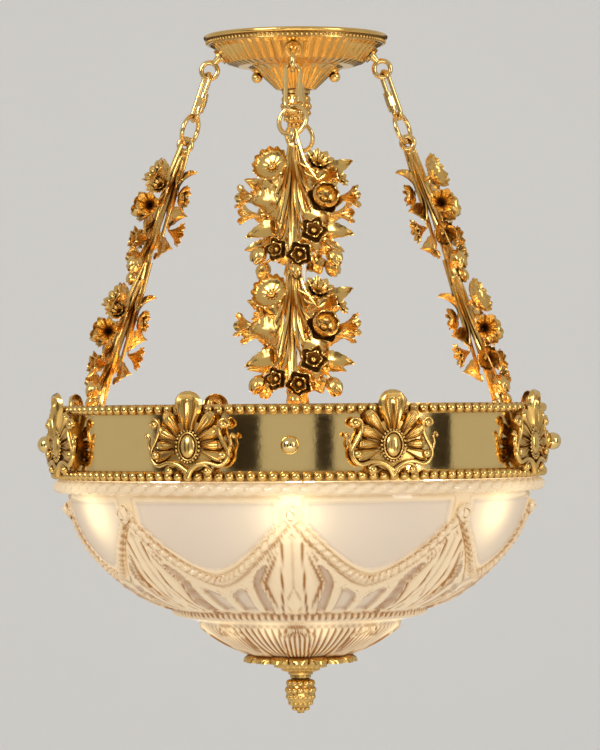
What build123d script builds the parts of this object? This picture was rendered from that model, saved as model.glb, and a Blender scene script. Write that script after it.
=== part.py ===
# Hanging bowl chandelier: fluted canopy, four chains, four flower arms, banded ring, pressed glass bowl.
# Millimetres, ceiling plane at z = 0, everything hangs below it, front arm along -Y.
import math
import os

from build123d import *

os.makedirs("parts", exist_ok=True)

# Running and seating clearances
hole_gap = 0.25
rod_gap = 0.6

# Ceiling bracket and its two long screws
bracket_length = 94
bracket_width = 20
bracket_sheet = 2
bracket_drop = 4
slot_spacing = 48
slot_length = 14
slot_radius = 2.5
screw_spacing = 75
screw_radius = 2

# Canopy
canopy_radius = 88.8
canopy_height = 30.5
canopy_sheet = 1.2
canopy_flutes = 48
lip_radius = 2.2
lip_bead_radius = 1.6
lip_bead_count = 120
cup_radius = 45.8
cup_depth = 21.6
cup_floor_radius = 18.8
cup_flutes = 24
nut_ball_radius = 5.3
nut_base_radius = 6.5
nipple_radius = 4.8
nipple_bore = 2.8

# Pinecone casting, used at the top and as the bottom finial
cone_length = 33
cone_radius = 15.7
cone_neck_radius = 10

# Eyes, chains and the hanging line
arm_count = 4
eye_loop_radius = 7.8
eye_wire = 2.4
eye_pivot_radius = 85.9
eye_pivot_drop = 40.3
hang_angle = 18.6
link_length = 52
link_width = 19
link_wire = 2.2
link_turn = 25
link_gap = 10
sleeve_length = 19
sleeve_radius = 4.1
chain_gap = 0.25
ring_outer_radius = 16.5
ring_turn = -25
arm_eye_radius = 6
arm_eye_gap = 0.6

# Flower castings
spray_length = 126.4
stem_radius = 3.2
ferrule_radius = 4.6
ferrule_length = 9
fan_tip_radius = 2.6
foot_width = 25
foot_sheet = 3

# Ring band with its bead rims, palmettes and studs
band_radius = 231.6
band_sheet = 1.6
band_top = 365
band_height = 51.4
bead_radius = 4.5
bead_count = 146
bead_rail_height = 9.8
stud_drop = 392.8
stud_ball_radius = 8.3
palmette_count = 8
palmette_back = 239.9
palmette_half_width = 45
cabochon_drop = 393.7
palmette_screw_drop = 391
screw_head_radius = 4

# Cross bar, hub, lamps
hub_radius = 32
hub_top = 372
hub_height = 26
hub_wall = 1.5
spider_width = 16
spider_sheet = 2.5
lamp_count = 6
lamp_radius = 150
lamp_arm_radius = 4
lamp_arm_drop = 388
holder_radius = 13.5
holder_length = 26
holder_top = 400
bulb_radius = 22.5
bulb_drop = 455
bulb_cap_radius = 6.7
bulb_cap_depth = 16

# Glass bowl
bowl_rim_radius = 236.2
bowl_rope_radius = 5.6
bowl_top = 427
bowl_body_radius = 222
bowl_wall = 5
bowl_arc_radius = 142.2
bowl_arc_end_radius = 124
bowl_arc_end_drop = 548.5
bowl_dome_radius = 100
bowl_dome_drop = 562.5
bowl_dome_arc = 135.6
bowl_floor_radius = 22
bowl_floor_drop = 598.6
swag_count = 8
swag_knot_drop = 456
swag_low_drop = 520
swag_height = 10
swag_half_width = 83
petal_top_drop = 486
petal_wide_drop = 516
petal_low_drop = 548
petal_half_width = 24
knot_radius = 8.4
relief_depth = 3.4
rod_radius = 5
rod_end_drop = 630
washer_sheet = 2
collar_radius = 54.8
collar_leaves = 8

# Power cord
cord_radius = 2.4


def turned(*outline):
    # Solid of revolution about Z from radius and height pairs.
    with BuildSketch(Plane.XZ) as half_section:
        with BuildLine():
            Polyline(*outline, close=True)
        make_face()
    revolve(half_section.sketch, axis=Axis.Z)


def bar(start, end, start_radius, end_radius):
    # Tapered round bar between two points.
    run = Vector(*end) - Vector(*start)
    with Locations(Plane(origin=start, z_dir=run)):
        Cone(start_radius, end_radius, run.length, align=(Align.CENTER, Align.CENTER, Align.MIN))


def facing(origin, direction):
    return Plane(origin=origin, z_dir=direction).location


def turn(angle):
    return Location((0, 0, 0), (0, 0, angle))


def save(piece, name):
    piece.part.label = name
    export_step(piece.part, f"parts/{name}.step")


def scalloped(radius, height, count, depth):
    # Face at one height whose edge is a row of shallow outward arcs.
    pitch = 360 / count
    notch = Vector(radius - depth, 0, 0)
    crest = Vector(radius, 0, 0)
    with BuildSketch(Plane.XY.offset(height)) as lobes:
        with BuildLine():
            for lobe in range(count):
                ThreePointArc(
                    notch.rotate(Axis.Z, pitch * lobe),
                    crest.rotate(Axis.Z, pitch * (lobe + 0.5)),
                    notch.rotate(Axis.Z, pitch * (lobe + 1)),
                )
        make_face()
    return lobes.sketch.face()


# The hanging line: a straight line in each arm's own upright plane, measured from the eye's pivot
lean = math.radians(hang_angle)
line_plane = Plane(
    origin=(eye_pivot_radius, 0, -eye_pivot_drop),
    x_dir=(0, 1, 0),
    z_dir=(math.cos(lean), 0, math.sin(lean)),
)
link_span = link_length - 2 * link_wire
link_top = eye_wire + link_wire + chain_gap
link_bottom = link_top - link_span
ring_radius = ring_outer_radius - link_wire
ring_top = link_bottom + 2 * link_wire + chain_gap
ring_centre = ring_top - ring_radius
ring_bottom = ring_centre - ring_radius
arm_eye_centre = ring_bottom + link_wire + eye_wire + arm_eye_gap - arm_eye_radius
stem_top = arm_eye_centre - arm_eye_radius - eye_wire - 1.5
stem_joint = stem_top - spray_length
stem_end = stem_joint - spray_length
arm_angles = [-90 + 360 / arm_count * index for index in range(arm_count)]
arm_names = ["front", "right", "back", "left"]


def on_line(angle, height):
    # Location on one arm's hanging line, X across, Y up the line, Z outward.
    return turn(angle) * line_plane.location * Location((0, height, 0))


# Ceiling bracket: hat-shaped strip with slots for the ceiling and holes for the long screws
with BuildPart() as ceiling_bracket:
    with BuildSketch(Plane.XZ) as bracket_side:
        with BuildLine():
            Polyline(
                (0, 0),
                (slot_spacing / 2 + slot_length / 2 + 0.6, 0),
                (slot_spacing / 2 + slot_length / 2 + 2.2, -bracket_drop),
                (bracket_length / 2, -bracket_drop),
                (bracket_length / 2, -bracket_drop - bracket_sheet),
                (slot_spacing / 2 + slot_length / 2 + 1, -bracket_drop - bracket_sheet),
                (slot_spacing / 2 + slot_length / 2 - 0.6, -bracket_sheet),
                (0, -bracket_sheet),
                close=True,
            )
        make_face()
        mirror(about=Plane.YZ)
    extrude(amount=bracket_width / 2, both=True)
    with BuildSketch(Plane.XY) as bracket_holes:
        with Locations((-slot_spacing / 2, 0), (slot_spacing / 2, 0)):
            SlotOverall(slot_length, 2 * slot_radius)
        with Locations((-screw_spacing / 2, 0), (screw_spacing / 2, 0)):
            Circle(screw_radius + hole_gap)
    extrude(amount=-bracket_drop - bracket_sheet, mode=Mode.SUBTRACT)
save(ceiling_bracket, "ceiling_bracket")

nut_seat = canopy_height + 0.2
nut_length = 14.6
with BuildPart() as bracket_screws:
    with Locations((-screw_spacing / 2, 0, 0), (screw_spacing / 2, 0, 0)):
        with Locations((0, 0, -bracket_drop + 0.05)):
            Cylinder(2 * screw_radius, bracket_drop / 2, align=(Align.CENTER, Align.CENTER, Align.MIN))
        with Locations((0, 0, -bracket_drop + 0.05)):
            shank_length = nut_seat + 5 - bracket_drop
            Cylinder(screw_radius, shank_length, align=(Align.CENTER, Align.CENTER, Align.MAX))
save(bracket_screws, "bracket_screws")

# Canopy: fluted dish with a rolled, beaded lip
dish_stations = [(83, 9.5), (78.2, 12.5), (65.6, 27), (56, canopy_height - 0.6), (48, canopy_height)]
eye_seat_radius = 72.4
eye_seat_drop = 12.5 + (78.2 - eye_seat_radius) * (27 - 12.5) / (78.2 - 65.6)
eye_normal = Vector(27 - 12.5, 0, -(78.2 - 65.6)).normalized()
with BuildPart() as canopy:
    loft(
        [scalloped(radius, -drop, canopy_flutes, 1.3) for radius, drop in dish_stations],
        ruled=True,
    )
    turned((0, -9.6), (83, -9.6), (84.2, -9.2), (84.2, -4), (86.4, -4), (86.4, 0), (0, 0))
    with Locations((0, 0, -lip_radius)):
        Torus(canopy_radius - lip_radius, lip_radius)
    with BuildSketch(Plane.XY.offset(-9.2)) as lip_rail:
        RegularPolygon(85.4, lip_bead_count, major_radius=False)
        Circle(80, mode=Mode.SUBTRACT)
    extrude(lip_rail.sketch, amount=5.2)
    with PolarLocations(85.6, lip_bead_count):
        with Locations((0, 0, -6.8)):
            Sphere(lip_bead_radius)
    with BuildSketch(Plane.XZ) as dish_hollow:
        with BuildLine():
            Polyline(
                (0, 1),
                (83.4, 1),
                (83.4, -5.2),
                (80.6, -8.6),
                (75.8, -12.1),
                (63.2, -25.4),
                (54, -canopy_height + canopy_sheet + 0.7),
                (30, -canopy_height + canopy_sheet),
                (0, -canopy_height + canopy_sheet),
                close=True,
            )
        make_face()
    revolve(dish_hollow.sketch, axis=Axis.Z, mode=Mode.SUBTRACT)
    with Locations((-screw_spacing / 2, 0, -canopy_height), (screw_spacing / 2, 0, -canopy_height)):
        Cylinder(screw_radius + hole_gap, 8, mode=Mode.SUBTRACT)
    with Locations((0, 0, -canopy_height)):
        Cylinder(nipple_radius + hole_gap, 8, mode=Mode.SUBTRACT)
    for angle in arm_angles:
        with Locations(turn(angle) * facing((eye_seat_radius, 0, -eye_seat_drop), eye_normal)):
            Cylinder(2.8, 9, mode=Mode.SUBTRACT)
save(canopy, "canopy")


# Second, smaller fluted cup under the dish
cup_top = canopy_height + 0.1
cup_bottom = cup_top + cup_depth
cup_stations = [
    (cup_radius, cup_top),
    (38.6, cup_top + 3),
    (25.1, cup_bottom - 5.8),
    (cup_floor_radius, cup_bottom),
]
with BuildPart() as canopy_cup:
    loft(
        [scalloped(radius, -drop, cup_flutes, 1.2) for radius, drop in cup_stations],
        ruled=True,
    )
    with BuildSketch(Plane.XZ) as cup_hollow:
        with BuildLine():
            Polyline(
                (0, -cup_top + 1),
                (cup_radius - 2.6, -cup_top + 1),
                (cup_radius - 2.6, -cup_top),
                (36, -cup_top - 2.4),
                (22.6, -cup_bottom + 6),
                (16, -cup_bottom + 1.2),
                (0, -cup_bottom + 1.2),
                close=True,
            )
        make_face()
    revolve(cup_hollow.sketch, axis=Axis.Z, mode=Mode.SUBTRACT)
    with Locations((-screw_spacing / 2, 0, -cup_top), (screw_spacing / 2, 0, -cup_top)):
        Cylinder(nut_base_radius + 0.6, 40, mode=Mode.SUBTRACT)
    with Locations((0, 0, -cup_bottom)):
        Cylinder(nipple_radius + hole_gap, 8, mode=Mode.SUBTRACT)
save(canopy_cup, "canopy_cup")

# Ball nuts that clamp the canopy to the bracket's screws
for nut_name, nut_side in (("canopy_nut_left", -1), ("canopy_nut_right", 1)):
    with BuildPart() as canopy_nut:
        with Locations((nut_side * screw_spacing / 2, 0, -nut_seat)):
            Cylinder(nut_base_radius, 1.6, align=(Align.CENTER, Align.CENTER, Align.MAX))
            with Locations((0, 0, -1.6)):
                Cone(3.2, nut_base_radius - 0.6, 3.4, align=(Align.CENTER, Align.CENTER, Align.MAX))
            with Locations((0, 0, -nut_length + nut_ball_radius)):
                Sphere(nut_ball_radius)
            Cylinder(
                screw_radius + hole_gap,
                8,
                align=(Align.CENTER, Align.CENTER, Align.MAX),
                mode=Mode.SUBTRACT,
            )
    save(canopy_nut, nut_name)

# Threaded tube and lock nut that hold the cup and the top pinecone
cone_top_drop = cup_bottom + 0.05
with BuildPart() as canopy_nipple:
    with Locations((0, 0, -canopy_height + 9)):
        Cylinder(nipple_radius, 9 + cup_depth + 9, align=(Align.CENTER, Align.CENTER, Align.MAX))
        Cylinder(
            nipple_bore + 0.3,
            9 + cup_depth + 9,
            align=(Align.CENTER, Align.CENTER, Align.MAX),
            mode=Mode.SUBTRACT,
        )
    with BuildSketch(Plane.XY.offset(-canopy_height + canopy_sheet + 0.05)) as lock_nut:
        RegularPolygon(8, 6)
        Circle(nipple_radius - 0.5, mode=Mode.SUBTRACT)
    extrude(lock_nut.sketch, amount=4)
save(canopy_nipple, "canopy_nipple")


def pinecone(neck_radius, neck_length, bore_radius, bore_depth):
    # Pinecone casting from z = 0 down: neck, three rows of scales, beaded tip.
    belly = -neck_length - 0.38 * cone_length
    tip = -neck_length - cone_length
    turned((0, 0), (neck_radius, 0), (neck_radius, -neck_length), (0, -neck_length))
    with BuildSketch(Plane.XZ) as cone_side:
        with BuildLine():
            ThreePointArc(
                (neck_radius - 2, -neck_length),
                (cone_radius - 2.2, belly + 2),
                (0.62 * cone_radius, tip + 6.5),
            )
            Line((0.62 * cone_radius, tip + 6.5), (3.4, tip))
            Line((3.4, tip), (0, tip))
            Line((0, tip), (0, -neck_length))
            Line((0, -neck_length), (neck_radius - 2, -neck_length))
        make_face()
    revolve(cone_side.sketch, axis=Axis.Z)
    for row, (row_radius, row_drop, scale_radius, scales) in enumerate(
        (
            (cone_radius - 5.2, 0.16, 3.6, 12),
            (cone_radius - 3.9, 0.36, 3.6, 14),
            (cone_radius - 4.1, 0.56, 2.9, 16),
            (cone_radius - 5.6, 0.74, 2.3, 14),
            (cone_radius - 9, 0.9, 2, 10),
        )
    ):
        row_place = (0, 0, -neck_length - row_drop * cone_length)
        with Locations(Location(row_place, (0, 0, 180 / scales * (row % 2)))):
            with PolarLocations(row_radius, scales):
                Sphere(scale_radius)
    with Locations((0, 0, tip)):
        Cylinder(3.4, 2.2)
    Cylinder(
        bore_radius,
        bore_depth,
        align=(Align.CENTER, Align.CENTER, Align.MAX),
        mode=Mode.SUBTRACT,
    )


with BuildPart() as pinecone_form:
    pinecone(13.5, 4, nipple_radius + hole_gap, 11)
with BuildPart() as top_pinecone:
    with Locations((0, 0, -cone_top_drop)):
        add(pinecone_form.part)
    Cylinder(nipple_bore + 0.3, 400, mode=Mode.SUBTRACT)
save(top_pinecone, "top_pinecone")
top_tip_drop = cone_top_drop + 4 + cone_length + 1.1

# Cast eyes, one per chain, screwed through the dish
eye_centre = line_plane.from_local_coords(Vector(0, eye_loop_radius, 0))
with BuildPart() as eye_form:
    with Locations(facing((eye_seat_radius, 0, -eye_seat_drop), eye_normal)):
        Cylinder(8, 2.4, align=(Align.CENTER, Align.CENTER, Align.MIN))
        Cylinder(2.5, 6, align=(Align.CENTER, Align.CENTER, Align.MAX))
        with Locations((0, 0, -canopy_sheet - 1.9)):
            Cylinder(4.5, 2.5, align=(Align.CENTER, Align.CENTER, Align.MAX))
    with Locations(Location(tuple(eye_centre), (90, 0, 0))):
        Torus(eye_loop_radius, eye_wire)
    eye_base = Vector(eye_seat_radius, 0, -eye_seat_drop) + eye_normal * 2
    loop_shoulder = (
        eye_centre.X - eye_loop_radius * math.cos(math.radians(58)),
        0,
        eye_centre.Z + eye_loop_radius * math.sin(math.radians(58)),
    )
    bar(tuple(eye_base), loop_shoulder, 4.2, 2.3)
with BuildPart() as canopy_eyes:
    for angle in arm_angles:
        with Locations(turn(angle)):
            add(eye_form.part)
save(canopy_eyes, "canopy_eyes")

# Quick links: an open oval of wire, a screw sleeve over the opening
leg_spread = (link_width - 2 * link_wire) / 2
leg_half = link_span / 2 - leg_spread
sleeve_centre = -0.1 * link_length
with BuildPart() as link_form:
    with BuildLine() as link_path:
        wire_start = (leg_spread, sleeve_centre + link_gap / 2, 0)
        bend_right = (leg_spread, leg_half, 0)
        bend_left = (-leg_spread, leg_half, 0)
        low_left = (-leg_spread, -leg_half, 0)
        low_right = (leg_spread, -leg_half, 0)
        Line(wire_start, bend_right)
        ThreePointArc(bend_right, (0, link_span / 2, 0), bend_left)
        Line(bend_left, low_left)
        ThreePointArc(low_left, (0, -link_span / 2, 0), low_right)
        Line(low_right, (leg_spread, sleeve_centre - link_gap / 2, 0))
    with BuildSketch(Plane(origin=wire_start, z_dir=(0, 1, 0))) as wire_section:
        Circle(link_wire)
    sweep(wire_section.sketch, path=link_path.wire())
with BuildPart() as sleeve_form:
    sleeve_foot = (leg_spread, sleeve_centre - sleeve_length / 2, 0)
    with BuildSketch(Plane(origin=sleeve_foot, z_dir=(0, 1, 0))) as sleeve_ring:
        Circle(sleeve_radius)
        Circle(link_wire + 0.12, mode=Mode.SUBTRACT)
    extrude(sleeve_ring.sketch, amount=sleeve_length)
    with BuildSketch(Plane(origin=(leg_spread, sleeve_centre - 4.5, 0), z_dir=(0, 1, 0))) as sleeve_flats:
        RegularPolygon(sleeve_radius + 0.7, 6)
        Circle(sleeve_radius - 0.4, mode=Mode.SUBTRACT)
    extrude(sleeve_flats.sketch, amount=9)
with BuildPart() as ring_form:
    Torus(ring_radius, link_wire)
for angle, name in zip(arm_angles, arm_names):
    with BuildPart() as quick_link:
        with Locations(on_line(angle, link_top - link_span / 2) * Location((0, 0, 0), (0, link_turn, 0))):
            add(link_form.part)
    save(quick_link, f"quick_link_{name}")
    with BuildPart() as link_sleeve:
        with Locations(on_line(angle, link_top - link_span / 2) * Location((0, 0, 0), (0, link_turn, 0))):
            add(sleeve_form.part)
    save(link_sleeve, f"link_sleeve_{name}")
    with BuildPart() as round_ring:
        with Locations(on_line(angle, ring_centre) * Location((0, 0, 0), (0, ring_turn, 0))):
            add(ring_form.part)
    save(round_ring, f"round_ring_{name}")

# Flowers, leaves and buds of the castings, each in its own small frame, opening along +Z
with BuildPart() as daisy_form:
    with BuildSketch() as daisy_dish:
        RegularPolygon(12.4, 16, major_radius=False)
    extrude(daisy_dish.sketch, amount=2.6)
    with PolarLocations(12.4, 16):
        with Locations((0, 0, 2)):
            Sphere(2.4)
    with Locations((0, 0, 2)):
        Sphere(4.6)
with BuildPart() as trumpet_form:
    turned(
        (0, 0),
        (2.2, 0),
        (3, 8),
        (4.7, 14),
        (7.6, 18.5),
        (11, 21),
        (10.4, 22.2),
        (6.6, 20),
        (3.4, 15.4),
        (1.4, 10),
        (0, 9.5),
    )
with BuildPart() as cup_flower_form:
    Sphere(11)
    Sphere(9.4, mode=Mode.SUBTRACT)
    with Locations((0, 0, 3)):
        Box(30, 30, 20, align=(Align.CENTER, Align.CENTER, Align.MIN), mode=Mode.SUBTRACT)
    with PolarLocations(10.4, 5):
        with Locations((0, 0, 2)):
            Sphere(3.2)
    with Locations((0, 0, -7)):
        Sphere(4)
with BuildPart() as fan_form:
    fan_tips = [Vector(0, 12.5, 0).rotate(Axis.Z, -75 + 25 * ray) for ray in range(7)]
    with BuildSketch() as fan_web:
        with BuildLine():
            Polyline((0, -2.5), *[(tip.X, tip.Y) for tip in fan_tips], close=True)
        make_face()
    extrude(fan_web.sketch, amount=2.2)
    with Locations(*[(tip.X, tip.Y, 1.4) for tip in fan_tips]):
        Sphere(fan_tip_radius)
    with Locations((0, 1, 1)):
        Cylinder(3.6, 6)
with BuildPart() as rosette_form:
    with PolarLocations(6.4, 5):
        Sphere(5.2)
    with Locations((0, 0, 3)):
        Sphere(4.2)
with BuildPart() as bud_form:
    turned((0, 0), (2.6, 0), (6.5, 4), (8.4, 9), (7, 14), (3.4, 17.6), (0, 18.6))


def leaf(length, width, sheet):
    # Leaf from the origin along +Y with a raised midrib.
    with BuildSketch(Plane.XY) as blade:
        with BuildLine():
            ThreePointArc((-1.2, -1), (-width / 2, 0.5 * length), (0, length))
            ThreePointArc((0, length), (width / 2, 0.5 * length), (1.2, -1))
            Line((1.2, -1), (-1.2, -1))
        make_face()
    extrude(blade.sketch, amount=sheet)
    with BuildSketch(Plane.XY.offset(sheet)) as midrib:
        with BuildLine():
            Polyline((-1.2, 0), (0, 0.86 * length), (1.2, 0), close=True)
        make_face()
    extrude(midrib.sketch, amount=1)


with BuildPart() as long_leaf_form:
    leaf(36, 15, 1.6)
with BuildPart() as broad_leaf_form:
    leaf(26, 22, 1.6)

# One flower casting: stem bundle with ferrules, side stems, blossoms outward, leaves inward
flower_places = (
    (daisy_form, (-17.5, -27, 12), (-0.15, 0.1, 1), (0, -42, 1)),
    (trumpet_form, (-29, -58, 9), (-1, 0.08, 0.25), (0, -76, 1)),
    (cup_flower_form, (30.5, -60, 16), (0.25, 0.1, 1), (0, -82, 1)),
    (fan_form, (24, -30, 14), (0.1, 0.15, 1), (0, -50, 1)),
    (trumpet_form, (41, -58, 8), (1, 0.05, 0.2), (0, -86, 1)),
    (rosette_form, (20, -92, 15), (0.1, -0.1, 1), (0, -106, 1)),
    (bud_form, (-29, -106, 7), (-0.35, -0.9, 0.1), (0, -92, 1)),
    (bud_form, (38, -108, 6), (0.35, -0.9, 0.1), (0, -100, 1)),
)
leaf_places = (
    (long_leaf_form, (-9, -86, 3), 108),
    (long_leaf_form, (24, -88, 3), -98),
    (long_leaf_form, (26, -38, 6), -62),
    (broad_leaf_form, (3, -34, -7), -25),
    (broad_leaf_form, (-4, -66, -8), 60),
    (broad_leaf_form, (5, -96, -8), -75),
)
with BuildPart() as spray_form:
    bar((0, 0, 0), (0, -ferrule_length, 0), ferrule_radius, ferrule_radius - 0.3)
    with Locations(Location((0, -1, 0), (90, 0, 0))):
        Cylinder(stem_radius, spray_length - 2, align=(Align.CENTER, Align.CENTER, Align.MIN))
    bar((0, -spray_length + ferrule_length, 0), (0, -spray_length, 0), ferrule_radius - 0.3, ferrule_radius)
    for strand_side in (-1, 1):
        with Locations(Location((strand_side * 3.4, -6, 1), (90, 0, 0))):
            Cylinder(2.2, spray_length - 14, align=(Align.CENTER, Align.CENTER, Align.MIN))
    for blossom, place, opening, branch in flower_places:
        bar(branch, place, 2.2, 1.7)
        with Locations(facing(place, opening)):
            add(blossom.part)
    for blade, place, heading in leaf_places:
        bar((0, place[1] - 6, 0), place, 2, 1.5)
        with Locations(Location(place, (0, 0, heading))):
            add(blade.part)
for angle, name in zip(arm_angles, arm_names):
    with BuildPart() as upper_spray:
        with Locations(on_line(angle, stem_top)):
            add(spray_form.part)
    save(upper_spray, f"upper_spray_{name}")
    with BuildPart() as lower_spray:
        with Locations(on_line(angle, stem_joint - 0.05)):
            add(spray_form.part)
    save(lower_spray, f"lower_spray_{name}")

# Screw eyes at the top of each arm
with BuildPart() as arm_eye_form:
    with Locations(Location((0, arm_eye_centre, 0), (0, 90, 0))):
        Torus(arm_eye_radius, eye_wire)
    eye_foot = (0, arm_eye_centre - arm_eye_radius, 0)
    bar((0, stem_top + 0.05, 0), eye_foot, ferrule_radius - 0.4, 0.7 * eye_wire)
with BuildPart() as arm_eyes:
    for angle in arm_angles:
        with Locations(on_line(angle, 0)):
            add(arm_eye_form.part)
save(arm_eyes, "arm_eyes")

# Fishtail feet that carry each arm to the band, and the ball studs that hold them
band_inner = band_radius - band_sheet
foot_start = line_plane.from_local_coords(Vector(0, stem_end - 0.1, 0))
foot_direction = Vector(math.sin(lean), 0, -math.cos(lean))
foot_neck = foot_start + foot_direction * 16
pad_radius = band_inner - 0.05
with BuildPart() as foot_form:
    bar(tuple(foot_start), tuple(foot_neck), ferrule_radius, 5.2)
    with BuildSketch(Plane.XZ) as foot_side:
        with BuildLine():
            Polyline(
                (foot_neck.X - 2, foot_neck.Z + 8),
                (foot_neck.X + 3, foot_neck.Z + 8),
                (foot_neck.X + 6, foot_neck.Z - 1),
                (pad_radius - 2, -stud_drop + 9),
                (pad_radius + 3, -stud_drop + 9),
                (pad_radius + 3, -stud_drop - 8),
                (pad_radius - foot_sheet, -stud_drop - 8),
                (pad_radius - foot_sheet, -stud_drop + 5),
                (foot_neck.X + 2, foot_neck.Z - 4),
                close=True,
            )
        make_face()
    extrude(foot_side.sketch, amount=foot_width / 2, both=True)
    with BuildSketch(Plane.YZ) as fishtail:
        with BuildLine():
            Polyline(
                (0, foot_neck.Z + 9),
                (4.5, foot_neck.Z + 9),
                (6, foot_neck.Z),
                (foot_width / 2, -stud_drop + 7),
                (foot_width / 2, -stud_drop - 9),
                (0, -stud_drop - 9),
                close=True,
            )
        make_face()
        mirror(about=Plane.YZ)
    with BuildPart(mode=Mode.PRIVATE) as fishtail_block:
        extrude(fishtail.sketch, amount=400)
        bar(tuple(foot_start), tuple(foot_neck), ferrule_radius + 1, 6.2)
    add(fishtail_block.part, mode=Mode.INTERSECT)
    Cylinder(pad_radius, 4 * stud_drop, mode=Mode.INTERSECT)
    with Locations(Location((pad_radius, 0, -stud_drop), (0, 90, 0))):
        Cylinder(screw_radius + hole_gap, 12, mode=Mode.SUBTRACT)
with BuildPart() as arm_feet:
    for angle in arm_angles:
        with Locations(turn(angle)):
            add(foot_form.part)
save(arm_feet, "arm_feet")

with BuildPart() as stud_form:
    with Locations(Location((band_radius + 0.05, 0, -stud_drop), (0, 90, 0))):
        Cylinder(6, 2, align=(Align.CENTER, Align.CENTER, Align.MIN))
        Cylinder(4, 5.5, align=(Align.CENTER, Align.CENTER, Align.MIN))
        with Locations((0, 0, 12.8)):
            Sphere(stud_ball_radius)
        Cylinder(screw_radius, band_sheet + foot_sheet + 4, align=(Align.CENTER, Align.CENTER, Align.MAX))
        with Locations((0, 0, -band_sheet - foot_sheet - 0.2)):
            Cylinder(screw_head_radius, 3, align=(Align.CENTER, Align.CENTER, Align.MAX))
with BuildPart() as band_studs:
    for angle in arm_angles:
        with Locations(turn(angle)):
            add(stud_form.part)
save(band_studs, "band_studs")

# Polished band, pierced for the studs and the palmettes' screws
palmette_angles = [-90 + 360 / palmette_count * (index + 0.5) for index in range(palmette_count)]
with BuildPart() as ring_band:
    turned(
        (band_inner, -band_top),
        (band_radius, -band_top),
        (band_radius, -band_top - band_height),
        (band_inner, -band_top - band_height),
    )
    for angle in arm_angles:
        with Locations(turn(angle) * Location((band_radius, 0, -stud_drop), (0, 90, 0))):
            Cylinder(screw_radius + hole_gap, 12, mode=Mode.SUBTRACT)
    for angle in palmette_angles:
        with Locations(turn(angle) * Location((band_radius, 0, -palmette_screw_drop), (0, 90, 0))):
            Cylinder(screw_radius + hole_gap, 12, mode=Mode.SUBTRACT)
save(ring_band, "ring_band")

# Beaded rims that cap the band above and below
with BuildPart() as bead_rims:
    for rim_height, lip_side in ((-band_top + 0.05, 1), (-band_top - band_height - 0.05, -1)):
        with BuildSketch(Plane.XY.offset(rim_height)) as rail:
            RegularPolygon(band_radius + 1.8, bead_count, major_radius=False)
            Circle(band_inner - 1.5, mode=Mode.SUBTRACT)
        extrude(rail.sketch, amount=lip_side * 0.95 * bead_rail_height)
        with PolarLocations(band_radius + 3, bead_count):
            with Locations((0, 0, rim_height + lip_side * (bead_radius + 0.15))):
                Sphere(bead_radius)
save(bead_rims, "bead_rims")

# Palmette casting: fan of spoon petals over a cabochon, scrolls at both sides
boss_depth = palmette_back - band_radius


def spoon(length, fat):
    # Spoon petal as a turned drop, lying along +Z.
    with BuildPart(mode=Mode.PRIVATE) as spoon_form:
        turned(
            (0, 0),
            (0.34 * fat, 0.04 * length),
            (0.62 * fat, 0.4 * length),
            (fat, 0.72 * length),
            (0.86 * fat, 0.9 * length),
            (0.4 * fat, length),
            (0, length),
        )
    return spoon_form.part


def scroll(start, middle, end, radius):
    # Round scroll through three points with a ball at its far end.
    with BuildLine(mode=Mode.PRIVATE) as scroll_path:
        ThreePointArc(start, middle, end)
    with BuildSketch(Plane(origin=start, z_dir=scroll_path.line % 0), mode=Mode.PRIVATE) as scroll_section:
        Circle(radius)
    sweep(scroll_section.sketch, path=scroll_path.line)
    with Locations(end):
        Sphere(1.55 * radius)


petal_fan = (
    (0, 15, 38, 6.2),
    (15, 15, 34, 4.8),
    (37, 14, 25, 4.3),
    (61, 14, 25, 4.3),
    (86, 13, 24, 4),
)
with BuildPart() as palmette_half:
    with BuildSketch() as palmette_plate:
        Ellipse(17, 20)
        with Locations((0, -20)):
            Ellipse(15, 10)
        with Locations((19, -8)):
            Ellipse(16, 8)
    extrude(palmette_plate.sketch, amount=2)
    for heading, start, length, fat in petal_fan:
        with Locations(Location((0, 0, 2), (0, 0, -heading)) * Location((0, start, 0), (-90, 0, 0))):
            add(spoon(length, fat))
    scroll((8, -25, 2.4), (40, -6, 2.4), (35, 24, 2.4), 2.7)
    scroll((2, -28.5, 2), (21, -21, 2), (14, -7, 2), 2.1)
    with Locations(Location((36, 12, 2), (0, 0, -52)) * Location((0, 0, 0), (-90, 0, 0))):
        add(spoon(10, 2.6))
    mirror(about=Plane.YZ)
with BuildPart() as palmette_form:
    add(palmette_half.part)
    with Locations((0, 0, -30)):
        Box(200, 200, 30, align=(Align.CENTER, Align.CENTER, Align.MIN), mode=Mode.SUBTRACT)
    with BuildSketch(Plane.XY) as cabochon_half:
        Ellipse(8, 11.5)
        Rectangle(20, 30, align=(Align.MAX, Align.CENTER), mode=Mode.SUBTRACT)
    with BuildPart(mode=Mode.PRIVATE) as cabochon:
        revolve(cabochon_half.sketch, axis=Axis.Y)
        Box(40, 40, 20, align=(Align.CENTER, Align.CENTER, Align.MAX), mode=Mode.SUBTRACT)
    with Locations((0, 0, 1.9)):
        add(cabochon.part)
    for bead in range(24):
        bead_angle = 2 * math.pi * bead / 24
        with Locations((11.3 * math.sin(bead_angle), 14.6 * math.cos(bead_angle), 2.2)):
            Sphere(1.3)
    with Locations((0, cabochon_drop - palmette_screw_drop, 0)):
        Cylinder(5, boss_depth - 0.05, align=(Align.CENTER, Align.CENTER, Align.MAX))
        with Locations((0, 0, -boss_depth - 1)):
            Cylinder(
                screw_radius + hole_gap,
                boss_depth,
                align=(Align.CENTER, Align.CENTER, Align.MIN),
                mode=Mode.SUBTRACT,
            )
palmette_plane = Plane(origin=(palmette_back, 0, -cabochon_drop), x_dir=(0, 1, 0), z_dir=(1, 0, 0))
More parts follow.
